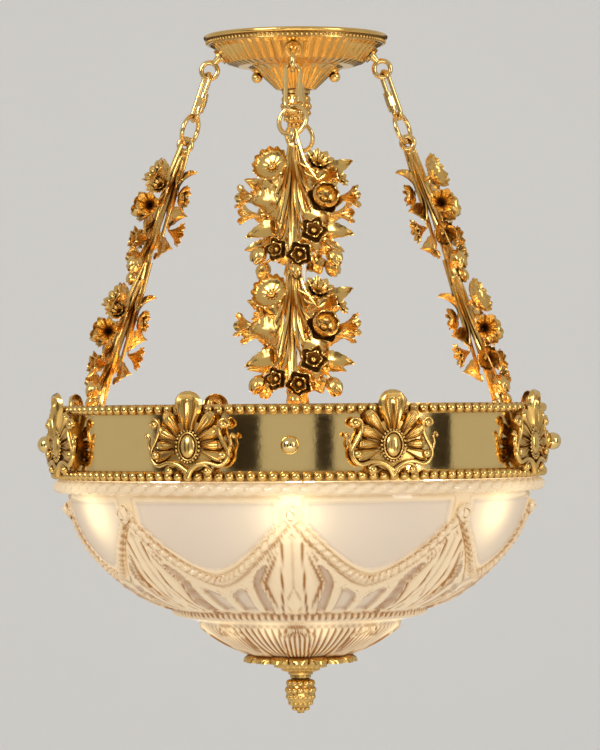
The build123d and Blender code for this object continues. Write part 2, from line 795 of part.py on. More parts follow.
for number, angle in enumerate(palmette_angles, start=1):
    with BuildPart() as palmette:
        with Locations(turn(angle) * palmette_plane.location):
            add(palmette_form.part)
    save(palmette, f"palmette_{number}")

with BuildPart() as palmette_screws:
    for number, angle in enumerate(palmette_angles):
        grip = band_sheet + (spider_sheet if number % 2 == 0 else 0)
        with Locations(turn(angle) * Location((band_radius, 0, -palmette_screw_drop), (0, 90, 0))):
            Cylinder(screw_radius, boss_depth - 4, align=(Align.CENTER, Align.CENTER, Align.MIN))
            Cylinder(screw_radius, grip + 1, align=(Align.CENTER, Align.CENTER, Align.MAX))
            with Locations((0, 0, -grip - 0.15)):
                Cylinder(screw_head_radius, 2.6, align=(Align.CENTER, Align.CENTER, Align.MAX))
save(palmette_screws, "palmette_screws")

# Cross bar that ties the band to the hub
spider_top = hub_top - 0.1 - spider_sheet
with BuildPart() as spider_leg:
    with BuildSketch(Plane.XZ) as leg_side:
        with BuildLine():
            Polyline(
                (0, -spider_top),
                (band_inner + 2, -spider_top),
                (band_inner + 2, -palmette_screw_drop - 8),
                (band_inner - 0.05 - spider_sheet, -palmette_screw_drop - 8),
                (band_inner - 0.05 - spider_sheet, -spider_top - spider_sheet),
                (0, -spider_top - spider_sheet),
                close=True,
            )
        make_face()
    extrude(leg_side.sketch, amount=spider_width / 2, both=True)
    Cylinder(band_inner - 0.05, 4 * spider_top, mode=Mode.INTERSECT)
    with Locations(Location((band_inner, 0, -palmette_screw_drop), (0, 90, 0))):
        Cylinder(screw_radius + hole_gap, 12, mode=Mode.SUBTRACT)
with BuildPart() as spider:
    for angle in palmette_angles[::2]:
        with Locations(turn(angle)):
            add(spider_leg.part)
    with Locations((0, 0, -spider_top)):
        Cylinder(26, spider_sheet, align=(Align.CENTER, Align.CENTER, Align.MAX))
        Cylinder(rod_radius + hole_gap, 20, mode=Mode.SUBTRACT)
save(spider, "spider")

# Hub box for the wiring
lamp_angles = [-90 + 360 / lamp_count * index for index in range(lamp_count)]
with BuildPart() as hub:
    with Locations((0, 0, -hub_top)):
        Cylinder(hub_radius, hub_height, align=(Align.CENTER, Align.CENTER, Align.MAX))
        with Locations((0, 0, -hub_wall)):
            Cylinder(
                hub_radius - hub_wall,
                hub_height - 2 * hub_wall,
                align=(Align.CENTER, Align.CENTER, Align.MAX),
                mode=Mode.SUBTRACT,
            )
        Cylinder(rod_radius + hole_gap, 80, mode=Mode.SUBTRACT)
    for angle in lamp_angles:
        with Locations(turn(angle) * Location((hub_radius, 0, -lamp_arm_drop), (0, 90, 0))):
            Cylinder(lamp_arm_radius + 0.1, 10, mode=Mode.SUBTRACT)
save(hub, "hub")

with BuildPart() as lamp_arm_form:
    with BuildLine(Plane.XZ) as lamp_arm_path:
        FilletPolyline(
            (hub_radius - 5, -lamp_arm_drop),
            (lamp_radius, -lamp_arm_drop),
            (lamp_radius, -holder_top + 0.05),
            radius=9,
        )
    with BuildSketch(Plane(origin=(hub_radius - 5, 0, -lamp_arm_drop), z_dir=(1, 0, 0))) as lamp_arm_section:
        Circle(lamp_arm_radius)
    sweep(lamp_arm_section.sketch, path=lamp_arm_path.line)
with BuildPart() as lamp_arms:
    for angle in lamp_angles:
        with Locations(turn(angle)):
            add(lamp_arm_form.part)
save(lamp_arms, "lamp_arms")

with BuildPart() as holder_form:
    turned(
        (0, 0),
        (8, 0),
        (holder_radius, -5),
        (holder_radius, -holder_length),
        (bulb_cap_radius + 0.4, -holder_length),
        (bulb_cap_radius + 0.4, -holder_length + bulb_cap_depth + 2),
        (0, -holder_length + bulb_cap_depth + 2),
    )
with BuildPart() as lampholders:
    for angle in lamp_angles:
        with Locations(turn(angle) * Location((lamp_radius, 0, -holder_top))):
            add(holder_form.part)
save(lampholders, "lampholders")

holder_mouth = holder_top + holder_length
bulb_top = holder_mouth - bulb_cap_depth
with BuildPart() as bulb_form:
    turned(
        (0, -bulb_top),
        (bulb_cap_radius, -bulb_top),
        (bulb_cap_radius, -holder_mouth - 0.4),
        (12.4, -bulb_drop + 18.4),
        (0, -bulb_drop),
    )
    with Locations((0, 0, -bulb_drop)):
        Sphere(bulb_radius)
for number, angle in enumerate(lamp_angles, start=1):
    with BuildPart() as bulb:
        with Locations(turn(angle) * Location((lamp_radius, 0, 0))):
            add(bulb_form.part)
    save(bulb, f"bulb_{number}")

# Threaded centre rod and its lock nuts
rod_top = spider_top - 9
with BuildPart() as centre_rod:
    with Locations((0, 0, -rod_top)):
        Cylinder(rod_radius, rod_end_drop - rod_top, align=(Align.CENTER, Align.CENTER, Align.MAX))
        Cylinder(3.1, 24, align=(Align.CENTER, Align.CENTER, Align.MAX), mode=Mode.SUBTRACT)
save(centre_rod, "centre_rod")
with BuildPart() as rod_nuts:
    for nut_height in (-spider_top + 0.05, -hub_top - hub_height - 0.05 - 6):
        with BuildSketch(Plane.XY.offset(nut_height)) as nut_outline:
            RegularPolygon(9, 6)
            Circle(rod_radius + 0.02, mode=Mode.SUBTRACT)
        extrude(nut_outline.sketch, amount=6)
save(rod_nuts, "rod_nuts")

# Pressed glass bowl: rope rim, body, stepped waist, dome
shoulder_drop = bowl_top + 11.3
waist = (
    (bowl_arc_end_radius - 3, bowl_arc_end_drop + 6.3),
    (bowl_arc_end_radius - 10, bowl_arc_end_drop + 10.7),
)


def bowl_outline(grow):
    # Half outline of the bowl, its outer line moved outward by grow and closed on the axis.
    body_start = (bowl_body_radius + grow, -shoulder_drop)
    body_end = (bowl_arc_end_radius + 0.3 * grow, -bowl_arc_end_drop - 0.95 * grow)
    dome_start = (bowl_dome_radius + 0.7 * grow, -bowl_dome_drop - 0.7 * grow)
    dome_end = (bowl_floor_radius, -bowl_floor_drop - grow)
    with BuildSketch(Plane.XZ, mode=Mode.PRIVATE) as section:
        with BuildLine():
            Line((bowl_body_radius + grow, -bowl_top), body_start)
            RadiusArc(body_start, body_end, bowl_arc_radius + grow)
            Polyline(
                body_end,
                (waist[0][0] + 0.9 * grow, -waist[0][1] - 0.4 * grow),
                (waist[1][0] + 0.8 * grow, -waist[1][1] - 0.6 * grow),
                dome_start,
            )
            RadiusArc(dome_start, dome_end, bowl_dome_arc + grow)
            Polyline(
                dome_end,
                (0, -bowl_floor_drop - grow),
                (0, -bowl_top),
                (bowl_body_radius + grow, -bowl_top),
            )
        make_face()
    return section.sketch


with BuildPart() as bowl_hollow:
    revolve(bowl_outline(-bowl_wall), axis=Axis.Z)
with BuildPart() as bowl_relief:
    revolve(bowl_outline(relief_depth), axis=Axis.Z)

# Relief on the glass: swags hung from knots, a tall petal under each knot
with BuildPart() as bowl_ornament:
    with BuildSketch(Plane.YZ.offset(60)) as swag_face:
        with BuildLine():
            swag_end = (swag_half_width - 1, -swag_knot_drop)
            swag_under = (swag_half_width + 1, -swag_knot_drop - 0.8 * swag_height)
            ThreePointArc((-swag_end[0], swag_end[1]), (0, -swag_low_drop), swag_end)
            Line(swag_end, swag_under)
            ThreePointArc(
                swag_under,
                (0, -swag_low_drop - swag_height),
                (-swag_under[0], swag_under[1]),
            )
            Line((-swag_under[0], swag_under[1]), (-swag_end[0], swag_end[1]))
        make_face()
    extrude(swag_face.sketch, amount=240)
with BuildPart() as bowl_petal:
    with BuildSketch(Plane.YZ.offset(60)) as petal_face:
        with BuildLine():
            petal_shoulder = (0.5 * petal_half_width, -petal_top_drop)
            petal_foot = (0.6 * petal_half_width, -petal_low_drop)
            Line((-petal_shoulder[0], petal_shoulder[1]), petal_shoulder)
            ThreePointArc(petal_shoulder, (petal_half_width, -petal_wide_drop), petal_foot)
            Line(petal_foot, (-petal_foot[0], petal_foot[1]))
            ThreePointArc(
                (-petal_foot[0], petal_foot[1]),
                (-petal_half_width, -petal_wide_drop),
                (-petal_shoulder[0], petal_shoulder[1]),
            )
        make_face()
    extrude(petal_face.sketch, amount=240)
swag_angles = [-90 + 360 / swag_count * (index + 0.5) for index in range(swag_count)]
knot_angles = [-90 + 360 / swag_count * index for index in range(swag_count)]
with BuildPart() as glass_bowl:
    for angle in swag_angles:
        with Locations(turn(angle)):
            add(bowl_ornament.part)
    for angle in knot_angles:
        with Locations(turn(angle)):
            add(bowl_petal.part)
    add(bowl_relief.part, mode=Mode.INTERSECT)
    revolve(bowl_outline(0), axis=Axis.Z)
    with Locations((0, 0, -bowl_top - bowl_rope_radius - 0.2)):
        Torus(bowl_rim_radius - bowl_rope_radius, bowl_rope_radius)
        Cylinder(bowl_rim_radius - bowl_rope_radius, 2 * bowl_rope_radius - 1)
    for angle in knot_angles:
        with Locations(turn(angle) * Location((bowl_body_radius - 1, 0, -swag_knot_drop))):
            Sphere(knot_radius)
    add(bowl_hollow.part, mode=Mode.SUBTRACT)
    with Locations((0, 0, -bowl_top)):
        Cylinder(bowl_body_radius - bowl_wall, 24, mode=Mode.SUBTRACT)
    with Locations((0, 0, -bowl_floor_drop)):
        Cylinder(rod_radius + rod_gap, 40, mode=Mode.SUBTRACT)
save(glass_bowl, "glass_bowl")

# Washer, leaf collar and finial under the bowl
washer_top = bowl_floor_drop + 0.1
with BuildPart() as bowl_washer:
    turned(
        (rod_radius + rod_gap, -washer_top),
        (18, -washer_top),
        (18, -washer_top - washer_sheet),
        (rod_radius + rod_gap, -washer_top - washer_sheet),
    )
save(bowl_washer, "bowl_washer")

collar_top = washer_top + washer_sheet + 0.1
with BuildPart() as leaf_dish:
    turned(
        (rod_radius + rod_gap, -collar_top),
        (20, -collar_top),
        (36, -collar_top + 3.4),
        (46, -collar_top + 5.4),
        (51, -collar_top + 4.2),
        (collar_radius, -collar_top - 2),
        (collar_radius - 1.2, -collar_top - 3),
        (50, -collar_top + 2.2),
        (46, -collar_top + 3.4),
        (36, -collar_top + 1.2),
        (20, -collar_top - 2.2),
        (rod_radius + rod_gap, -collar_top - 2.2),
    )
with BuildPart() as leaf_collar:
    with BuildSketch(Plane.XY.offset(-collar_top - 30)) as leaf_star:
        Circle(37)
        with PolarLocations(0, collar_leaves):
            with Locations((40, 0)):
                Ellipse(16, 13)
    extrude(leaf_star.sketch, amount=60)
    add(leaf_dish.part, mode=Mode.INTERSECT)
    turned(
        (rod_radius + rod_gap, -collar_top - 1),
        (32, -collar_top - 1),
        (31, -collar_top - 3.6),
        (25, -collar_top - 6),
        (17.4, -collar_top - 10.6),
        (11.6, -collar_top - 15.4),
        (rod_radius + rod_gap, -collar_top - 15.4),
    )
save(leaf_collar, "leaf_collar")

finial_top = collar_top + 15.4 + 0.1
with BuildPart() as finial_form:
    pinecone(cone_neck_radius, 3, rod_radius + 0.3, rod_end_drop - finial_top + 2)
with BuildPart() as finial:
    with Locations((0, 0, -finial_top)):
        add(finial_form.part)
save(finial, "finial")

# Clear cord from the top pinecone down to the hollow top of the rod
cord_points = [
    (0, 0, -top_tip_drop - 0.05),
    (0, 0, -top_tip_drop - 34),
    (5, 3, -top_tip_drop - 84),
    (7, 2, -top_tip_drop - 138),
    (3, -2, -top_tip_drop - 192),
    (0, 0, -top_tip_drop - 240),
    (0, 0, -rod_top - 8),
]
cord_radii = []
for before, corner, after in zip(cord_points, cord_points[1:], cord_points[2:]):
    run_in = Vector(*corner) - Vector(*before)
    run_out = Vector(*after) - Vector(*corner)
    half_turn = math.radians(run_in.get_angle(run_out) / 2)
    cord_radii.append(0.45 * min(run_in.length, run_out.length) / math.tan(half_turn))
print("cord radii", [round(radius) for radius in cord_radii])
with BuildPart() as power_cord:
    with BuildLine() as cord_path:
        FilletPolyline(*cord_points, radius=cord_radii)
    with BuildSketch(Plane(origin=cord_points[0], z_dir=(0, 0, -1))) as cord_section:
        Circle(cord_radius)
    sweep(cord_section.sketch, path=cord_path.wire())
cord_volume = math.pi * cord_radius**2 * cord_path.wire().length
print("cord length", round(cord_path.wire().length, 1))
print("cord volume ratio", round(power_cord.part.volume / cord_volume, 4))
save(power_cord, "power_cord")
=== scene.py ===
import bpy
import math
import random
import numpy as np
from mathutils import Matrix, Vector


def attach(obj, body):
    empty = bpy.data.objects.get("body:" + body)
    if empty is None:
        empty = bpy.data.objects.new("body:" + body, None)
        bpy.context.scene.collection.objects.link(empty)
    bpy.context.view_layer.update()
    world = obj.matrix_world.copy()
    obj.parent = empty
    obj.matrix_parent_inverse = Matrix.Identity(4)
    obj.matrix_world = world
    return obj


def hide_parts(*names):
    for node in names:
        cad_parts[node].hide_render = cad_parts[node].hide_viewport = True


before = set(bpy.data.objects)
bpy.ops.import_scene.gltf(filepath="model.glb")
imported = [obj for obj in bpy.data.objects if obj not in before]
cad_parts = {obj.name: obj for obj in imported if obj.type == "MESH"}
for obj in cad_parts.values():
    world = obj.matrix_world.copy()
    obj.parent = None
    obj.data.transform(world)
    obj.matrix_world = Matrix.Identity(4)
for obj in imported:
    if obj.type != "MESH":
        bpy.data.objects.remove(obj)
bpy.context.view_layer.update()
print("frame loaded with", len(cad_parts), "nodes")

mm = 0.001


# a shader socket that can be used in Python sums
class Wire:
    def __init__(self, mat, socket):
        self.mat = mat
        self.socket = socket

    def join(self, operation, other, flip=False):
        first, second = (other, self) if flip else (self, other)
        return self.mat.node("ShaderNodeMath", {"operation": operation}, {0: first, 1: second})[0]

    def __add__(self, other):
        return self.join("ADD", other)

    def __radd__(self, other):
        return self.join("ADD", other, True)

    def __sub__(self, other):
        return self.join("SUBTRACT", other)

    def __rsub__(self, other):
        return self.join("SUBTRACT", other, True)

    def __mul__(self, other):
        return self.join("MULTIPLY", other)

    def clamp(self):
        settings = {"operation": "ADD", "use_clamp": True}
        return self.mat.node("ShaderNodeMath", settings, {0: self, 1: 0.0})[0]


# one material and the nodes that feed it
class Finish:
    sockets = {"baseColor": "Base Color", "roughness": "Roughness", "metallic": "Metallic",
               "normal": "Normal", "coatWeight": "Coat Weight", "ior": "IOR",
               "transmission": "Transmission Weight",
               "emissionColor": "Emission Color", "emissionStrength": "Emission Strength"}

    def __init__(self, name):
        self.material = bpy.data.materials.new(name)
        self.material.use_nodes = True
        self.tree = self.material.node_tree
        self.shader = self.tree.nodes["Principled BSDF"]
        self.place = self.node("ShaderNodeTexCoord", {}, {}, "Object")

    def node(self, kind, settings, inputs, output=None):
        made = self.tree.nodes.new(kind)
        for key, value in settings.items():
            setattr(made, key, value)
        for key, value in inputs.items():
            self.feed(made.inputs[key], value)
        if output is not None:
            return Wire(self, made.outputs[output])
        return [Wire(self, socket) for socket in made.outputs]

    def feed(self, socket, value):
        if isinstance(value, Wire):
            self.tree.links.new(value.socket, socket)
        else:
            socket.default_value = value

    def set(self, **inputs):
        for key, value in inputs.items():
            self.feed(self.shader.inputs[self.sockets[key]], value)

    def noise(self, scale, detail=3, roughness=0.55):
        return self.node("ShaderNodeTexNoise", {}, {"Vector": self.place, "Scale": scale, "Detail": detail,
                                                    "Roughness": roughness}, "Fac")

    def mark(self, name):
        # a value kept on the mesh's own corners
        return self.node("ShaderNodeAttribute", {"attribute_name": name}, {}, "Fac")

    def openness(self, samples, distance, own):
        # 1 in the open and 0 deep in a crevice
        return self.node("ShaderNodeAmbientOcclusion", {"samples": samples, "only_local": own},
                         {"Distance": distance}, "AO")

    def mixColour(self, factor, first, second):
        first, second = (end if isinstance(end, Wire) else (*end, 1) for end in (first, second))
        return self.node("ShaderNodeMix", {"data_type": "RGBA"}, {0: factor, 6: first, 7: second})[2]

    def bump(self, height, strength, distance):
        return self.node("ShaderNodeBump", {}, {"Strength": strength, "Distance": distance, "Height": height},
                         "Normal")


def goldFinish(name, bright, deep, roughness, patinaAndShadeDepth, grain):
    # lacquered cast or spun brass: bright on the high places, brown in the hollows from patina and from
    # painted shade
    gold = Finish(name)
    hollow = gold.openness(4, 5 * mm, False)
    cloud = gold.noise(35, 4)
    speck = gold.noise(grain, 5, 0.6)
    # patina and painted shade: the ambient occlusion darkens the hollows towards the deep colour, with cloudy
    # tone on top
    patinaAndHollowShade = ((1 - hollow) * patinaAndShadeDepth * 1.5 + (cloud - 0.5) * 0.25).clamp()
    gold.set(baseColor=gold.mixColour(patinaAndHollowShade, bright, deep), metallic=1.0,
             roughness=(roughness + patinaAndHollowShade * 0.3 + (speck - 0.5) * 0.12).clamp(),
             normal=gold.bump(speck, 0.25, 0.15 * mm))
    return gold.material


def cloudyFinish(name, first, second, scale, detail, roughness, vary=0.0, metallic=0.0, grain=None):
    # two near colours in soft clouds; grain is the strength and depth of a fine bump
    finish = Finish(name)
    cloud = finish.noise(scale, detail)
    finish.set(baseColor=finish.mixColour(cloud, first, second), metallic=metallic,
               roughness=roughness + cloud * vary if vary else roughness)
    if grain:
        finish.set(normal=finish.bump(cloud, *grain))
    return finish.material


def opalFinish(name, strength):
    # lit opal glass
    opal = Finish(name)
    cloud = opal.noise(30, 2)
    opal.set(baseColor=opal.mixColour(cloud, (1.0, 0.95, 0.85), (0.98, 0.92, 0.8)), roughness=0.25,
             emissionColor=opal.mixColour(cloud, (1.0, 0.86, 0.6), (1.0, 0.82, 0.54)),
             emissionStrength=strength)
    return opal.material


def cableFinish(name):
    # stranded wire seen through a clear sheath
    cable = Finish(name)
    twist = cable.node("ShaderNodeTexWave", {"wave_type": "BANDS", "bands_direction": "DIAGONAL"},
                       {"Vector": cable.place, "Scale": 300, "Distortion": 0.5}, "Fac")
    cable.set(baseColor=cable.mixColour(twist, (0.62, 0.58, 0.5), (0.82, 0.8, 0.75)),
              roughness=0.18 + twist * 0.1, coatWeight=1.0, normal=cable.bump(twist, 0.3, 0.2 * mm))
    return cable.material


glassColours = {"clear": (0.46, 0.39, 0.29), "cutShadeColour": (0.26, 0.11, 0.02), "satin": (0.42, 0.37, 0.32),
                "paintedGlow": (0.66, 0.48, 0.26), "paintedSatinGlow": (0.45, 0.345, 0.23),
                "cutShadeGlow": (0.17, 0.06, 0.005), "lit": (1.7, 1.3, 0.7)}


def pressedGlassFinish(name, satinRoughness):
    # pressed crystal with light behind it: clear on the relief, satin in the panels, deep amber painted shade
    # in each cut, and a painted glow in the emission
    glass = Finish(name)
    mask = glass.mark("satin")
    glow = glass.mark("glow")
    ripple = glass.noise(75, 4)
    grainy = glass.noise(900, 3)
    crease = glass.openness(6, 9 * mm, True)
    # painted shade in each cut: the ambient occlusion of the creases and the kept cut mark darken the colour
    # and the glow
    cutShade = ((1 - crease) * 2.4 + glass.mark("cut") + (ripple - 0.5) * 0.5 - 0.1).clamp()
    clear = glass.mixColour(cutShade, glassColours["clear"], glassColours["cutShadeColour"])
    # painted glow of the lit bulbs over the whole glass, dimmer on the satin panels
    paintedGlow = glass.mixColour(mask, glassColours["paintedGlow"], glassColours["paintedSatinGlow"])
    shaded = glass.mixColour(cutShade * (1 - mask * 0.8), paintedGlow, glassColours["cutShadeGlow"])
    # painted light spots where the bulbs lie behind, dimmed in the painted cut shade
    paintedEmission = glass.mixColour((glow * (1 - cutShade * 0.6)).clamp(), shaded, glassColours["lit"])
    glass.set(baseColor=glass.mixColour(mask, clear, glassColours["satin"]),
              roughness=(0.05 + mask * satinRoughness + (ripple - 0.5) * 0.06).clamp(),
              transmission=0.15, ior=1.5, emissionColor=paintedEmission, emissionStrength=0.6,
              normal=glass.bump(ripple * (1 - mask) + grainy * mask * 0.25, 0.35, 1.0 * mm))
    return glass.material


polished = goldFinish("polishedBrass", bright=(0.93, 0.66, 0.26), deep=(0.55, 0.3, 0.07),
                      roughness=0.1, patinaAndShadeDepth=0.35, grain=260)
antique = goldFinish("antiqueBrass", bright=(0.88, 0.56, 0.17), deep=(0.2, 0.08, 0.012),
                     roughness=0.2, patinaAndShadeDepth=1.0, grain=700)
chainGold = goldFinish("chainBrass", bright=(0.92, 0.64, 0.25), deep=(0.45, 0.24, 0.05),
                       roughness=0.14, patinaAndShadeDepth=0.7, grain=500)
zinc = cloudyFinish("zincSteel", (0.75, 0.74, 0.7), (0.5, 0.5, 0.49), 120, 4, 0.28, vary=0.2, metallic=1.0,
                    grain=(0.2, 0.1 * mm))
porcelain = cloudyFinish("holderShell", (0.9, 0.87, 0.8), (0.82, 0.78, 0.7), 60, 3, 0.3, vary=0.15)
rubber = cloudyFinish("rubberWasher", (0.05, 0.05, 0.05), (0.09, 0.085, 0.08), 200, 4, 0.7,
                      grain=(0.3, 0.2 * mm))
opal = opalFinish("opalBulb", 7.0)
cable = cableFinish("clearCable")
crystal = pressedGlassFinish("pressedCrystal", 0.45)

# finish, starts of names and whole names; the first that fits holds, and the rest is polished
finishTable = (
    (zinc, (), ("bracket_screws", "ceiling_bracket", "canopy_nipple", "palmette_screws", "rod_nuts")),
    (antique, ("palmette_", "upper_spray", "lower_spray"),
     ("canopy", "canopy_cup", "top_pinecone", "leaf_collar", "finial", "bead_rims")),
    (chainGold, ("quick_link", "round_ring", "link_sleeve"), ("canopy_eyes", "arm_eyes", "arm_feet")),
    (opal, ("bulb_",), ()),
    (porcelain, (), ("lampholders",)),
    (rubber, (), ("bowl_washer",)),
    (cable, (), ("power_cord",)),
    (crystal, (), ("glass_bowl",)),
)
for node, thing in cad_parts.items():
    fitting = [finish for finish, starts, names in finishTable if node in names or node.startswith(starts)]
    thing.data.materials.clear()
    thing.data.materials.append((fitting + [polished])[0])
print("finishes made")


def deselect():
    if bpy.context.mode != "OBJECT":
        bpy.ops.object.mode_set(mode="OBJECT")
    bpy.ops.object.select_all(action="DESELECT")


def gridPiece(name, columns, rows, shape, join=0.0):
    # a grid whose corners go to shape(across, along), both from 0 to 1, in millimetres
    deselect()
    bpy.ops.mesh.primitive_grid_add(x_subdivisions=columns, y_subdivisions=rows, size=1)
    piece = bpy.context.object
    piece.name = name
    flat = np.empty(len(piece.data.vertices) * 3)
    piece.data.vertices.foreach_get("co", flat)
    flat = flat.reshape(-1, 3)
    placed = np.stack(shape(flat[:, 0] + 0.5, flat[:, 1] + 0.5), axis=1)
    piece.data.vertices.foreach_set("co", placed.ravel())
    bpy.ops.object.mode_set(mode="EDIT")
    bpy.ops.mesh.select_all(action="SELECT")
    if join:
        bpy.ops.mesh.remove_doubles(threshold=join)
    bpy.ops.mesh.normals_make_consistent(inside=False)
    bpy.ops.object.mode_set(mode="OBJECT")
    return piece


def thicken(piece, depth):
    deselect()
    piece.select_set(True)
    bpy.context.view_layer.objects.active = piece
    modifier = piece.modifiers.new("thickness", "SOLIDIFY")
    modifier.thickness = depth
    modifier.offset = 0
    bpy.ops.object.modifier_apply(modifier="thickness")
    return piece


def finishPiece(piece, material, angle=40):
    # from millimetres to the frame's metres, smooth shaded
    deselect()
    piece.select_set(True)
    bpy.context.view_layer.objects.active = piece
    piece.scale = (mm, mm, mm)
    bpy.ops.object.transform_apply(location=True, rotation=True, scale=True)
    piece.data.materials.clear()
    piece.data.materials.append(material)
    bpy.ops.object.shade_smooth_by_angle(angle=math.radians(angle))
    return piece


def gather(parts, name):
    deselect()
    for part in parts:
        part.select_set(True)
    bpy.context.view_layer.objects.active = parts[0]
    bpy.ops.object.join()
    parts[0].name = name
    return parts[0]


def copyOf(piece, matrix):
    twin = bpy.data.objects.new(piece.name, piece.data.copy())
    bpy.context.scene.collection.objects.link(twin)
    twin.data.transform(matrix)
    return twin


def stand(place, direction, roll=0.0, size=1.0):
    # +Z of a shape turned to a direction at a place
    turned = Vector(direction).to_track_quat("Z", "Y").to_matrix().to_4x4()
    return Matrix.Translation(place) @ turned @ Matrix.Rotation(roll, 4, "Z") @ Matrix.Scale(size, 4)


def smoothLine(corners, count):
    # points along a Catmull-Rom line through the corners
    corners = np.array([corners[0]] + list(corners) + [corners[-1]], dtype=float)
    pieces = len(corners) - 3
    line = []
    for step in np.linspace(0, pieces, count):
        k = min(int(step), pieces - 1)
        t = step - k
        a, b, c, d = corners[k:k + 4]
        bend = 2 * b + (c - a) * t + (2 * a - 5 * b + 4 * c - d) * t * t + (3 * b - a - 3 * c + d) * t ** 3
        line.append(0.5 * bend)
    return np.array(line)


def tube(name, line, out, sides, swell):
    # skin round a line of points; out is a rough sideways direction at each, swell(angle, share) the radius
    line = np.asarray(line, dtype=float)
    run = np.gradient(line, axis=0)
    run /= np.linalg.norm(run, axis=1)[:, None] + 1e-9
    out = np.broadcast_to(out, line.shape)
    side = np.cross(run, out)
    side /= np.linalg.norm(side, axis=1)[:, None] + 1e-9
    lift = np.cross(side, run)

    def shape(across, along):
        index = np.clip(np.round(along * (len(line) - 1)).astype(int), 0, len(line) - 1)
        angle = across * 2 * math.pi
        radius = swell(angle, along)
        aside = lift[index] * np.cos(angle)[:, None] + side[index] * np.sin(angle)[:, None]
        place = line[index] + aside * radius[:, None]
        return [place[:, 0], place[:, 1], place[:, 2]]

    return gridPiece(name, sides, len(line) - 1, shape, 0.01)


def rise(value):
    # soft step from 0 to 1
    value = np.clip(value, 0, 1)
    return value ** 2 * (3 - 2 * value)


def widthAt(drop, outline):
    # half width at a drop, from (drop, half width) corners
    return np.interp(drop, *np.array(outline, dtype=float).T)


def outlineAt(outline, along):
    # radius and level at a share of an outline's corners
    stops = np.linspace(0, 1, len(outline))
    radii, levels = np.array(outline, dtype=float).T
    return np.interp(along, stops, radii), np.interp(along, stops, levels)


# the glass bowl, from the same sizes as the frame's bowl; an outline's corner is (radius, drop)
bowl = {"top": 427, "bodyRadius": 222, "bodyArc": 142.2, "shoulder": 438.3, "arcEnd": (124, 548.5),
        "steps": ((121, 554.8), (114, 559.2), (100, 562.5)), "domeArc": 135.6, "floor": (22, 598.6),
        "wall": 4.6, "hole": 5.6, "knots": 8, "flutes": 5, "ropeRadius": 5.2, "ropeRing": 230.6,
        "ropeDrop": 432.9, "ropeTwists": 88, "ropeDepth": 0.4, "columns": 560, "rows": 150}
# the pressed relief: drops and (drop, half width) outlines, heights before the growth
relief = {"growth": 1.2, "cutShadeContrast": 1.25, "swagLow": 517, "swagHeight": 59, "lipTop": 440,
          "panelTop": 444, "lipRise": 0.9, "panelSink": 0.8, "petalTop": 476, "petalFoot": 553,
          "facetRise": 3.4, "edgeRise": 2.0,
          "petal": ((474, 5), (484, 13), (520, 29), (545, 18), (552, 17)), "seam": ((476, 9), (552, 11)),
          "seamDepth": 1.9, "diamondDrop": 540, "diamondRise": 3.4, "fluteShare": 0.72, "fluteFoot": 549,
          "bodyFoot": 551, "waistDrop": 555, "waistBeads": 120, "domeTop": 565, "domeFoot": 597,
          "shell": ((566, 5), (574, 17), (590, 13), (598, 8)), "shellRays": 3.5, "domeRays": 11}
# where the bulbs, and the bright spots they throw on the dome, lie behind the glass
lit = {"bulbs": 6, "bulbRing": 212, "bulbDrop": 455, "bulbCore": 24, "bulbHalo": 60, "firstBulb": -90,
       "spots": 12, "spotRing": 92, "spotDrop": 569, "spotSpread": 13, "firstSpot": -105,
       "fadeTop": 425, "fadeLength": 8}


def arcPoints(start, end, radius, count):
    # points on the arc that bulges outward and down between two (radius, drop) pairs
    start, end = np.array(start, dtype=float), np.array(end, dtype=float)
    chord = end - start
    half = np.linalg.norm(chord) / 2
    inward = np.array([-chord[1], chord[0]]) / (2 * half)
    if inward @ (-(start + end) / 2 + np.array([0, bowl["top"]])) < 0:
        inward = -inward
    centre = (start + end) / 2 + inward * math.sqrt(radius ** 2 - half ** 2)
    first = math.atan2(*(start - centre)[::-1])
    last = math.atan2(*(end - centre)[::-1])
    turns = np.linspace(first, last, count)
    return [tuple(centre + radius * np.array([math.cos(turn), math.sin(turn)])) for turn in turns]


bodyLine = arcPoints((bowl["bodyRadius"], bowl["shoulder"]), bowl["arcEnd"], bowl["bodyArc"], 40)
domeLine = arcPoints(bowl["steps"][2], bowl["floor"], bowl["domeArc"], 24)
outerLine = np.array([(bowl["bodyRadius"], bowl["top"])] + bodyLine + list(bowl["steps"][:2]) + domeLine)
lineLength = np.concatenate([[0], np.cumsum(np.hypot(*np.diff(outerLine, axis=0).T))])


def alongLine(share):
    # radius, drop and outward direction at a share of the outline's length
    s = share * lineLength[-1]
    radius = np.interp(s, lineLength, outerLine[:, 0])
    drop = np.interp(s, lineLength, outerLine[:, 1])
    before, after = s - 3, s + 3
    radiusRun = np.interp(after, lineLength, outerLine[:, 0]) - np.interp(before, lineLength, outerLine[:, 0])
    dropRun = np.interp(after, lineLength, outerLine[:, 1]) - np.interp(before, lineLength, outerLine[:, 1])
    size = np.hypot(radiusRun, dropRun) + 1e-9
    return radius, drop, dropRun / size, -radiusRun / size


def swagDrop(reach):
    # drop of the swag's middle line, reach from 0 at a knot to 1 half way to the next
    return relief["swagLow"] - relief["swagHeight"] * (1 - reach) ** 1.7


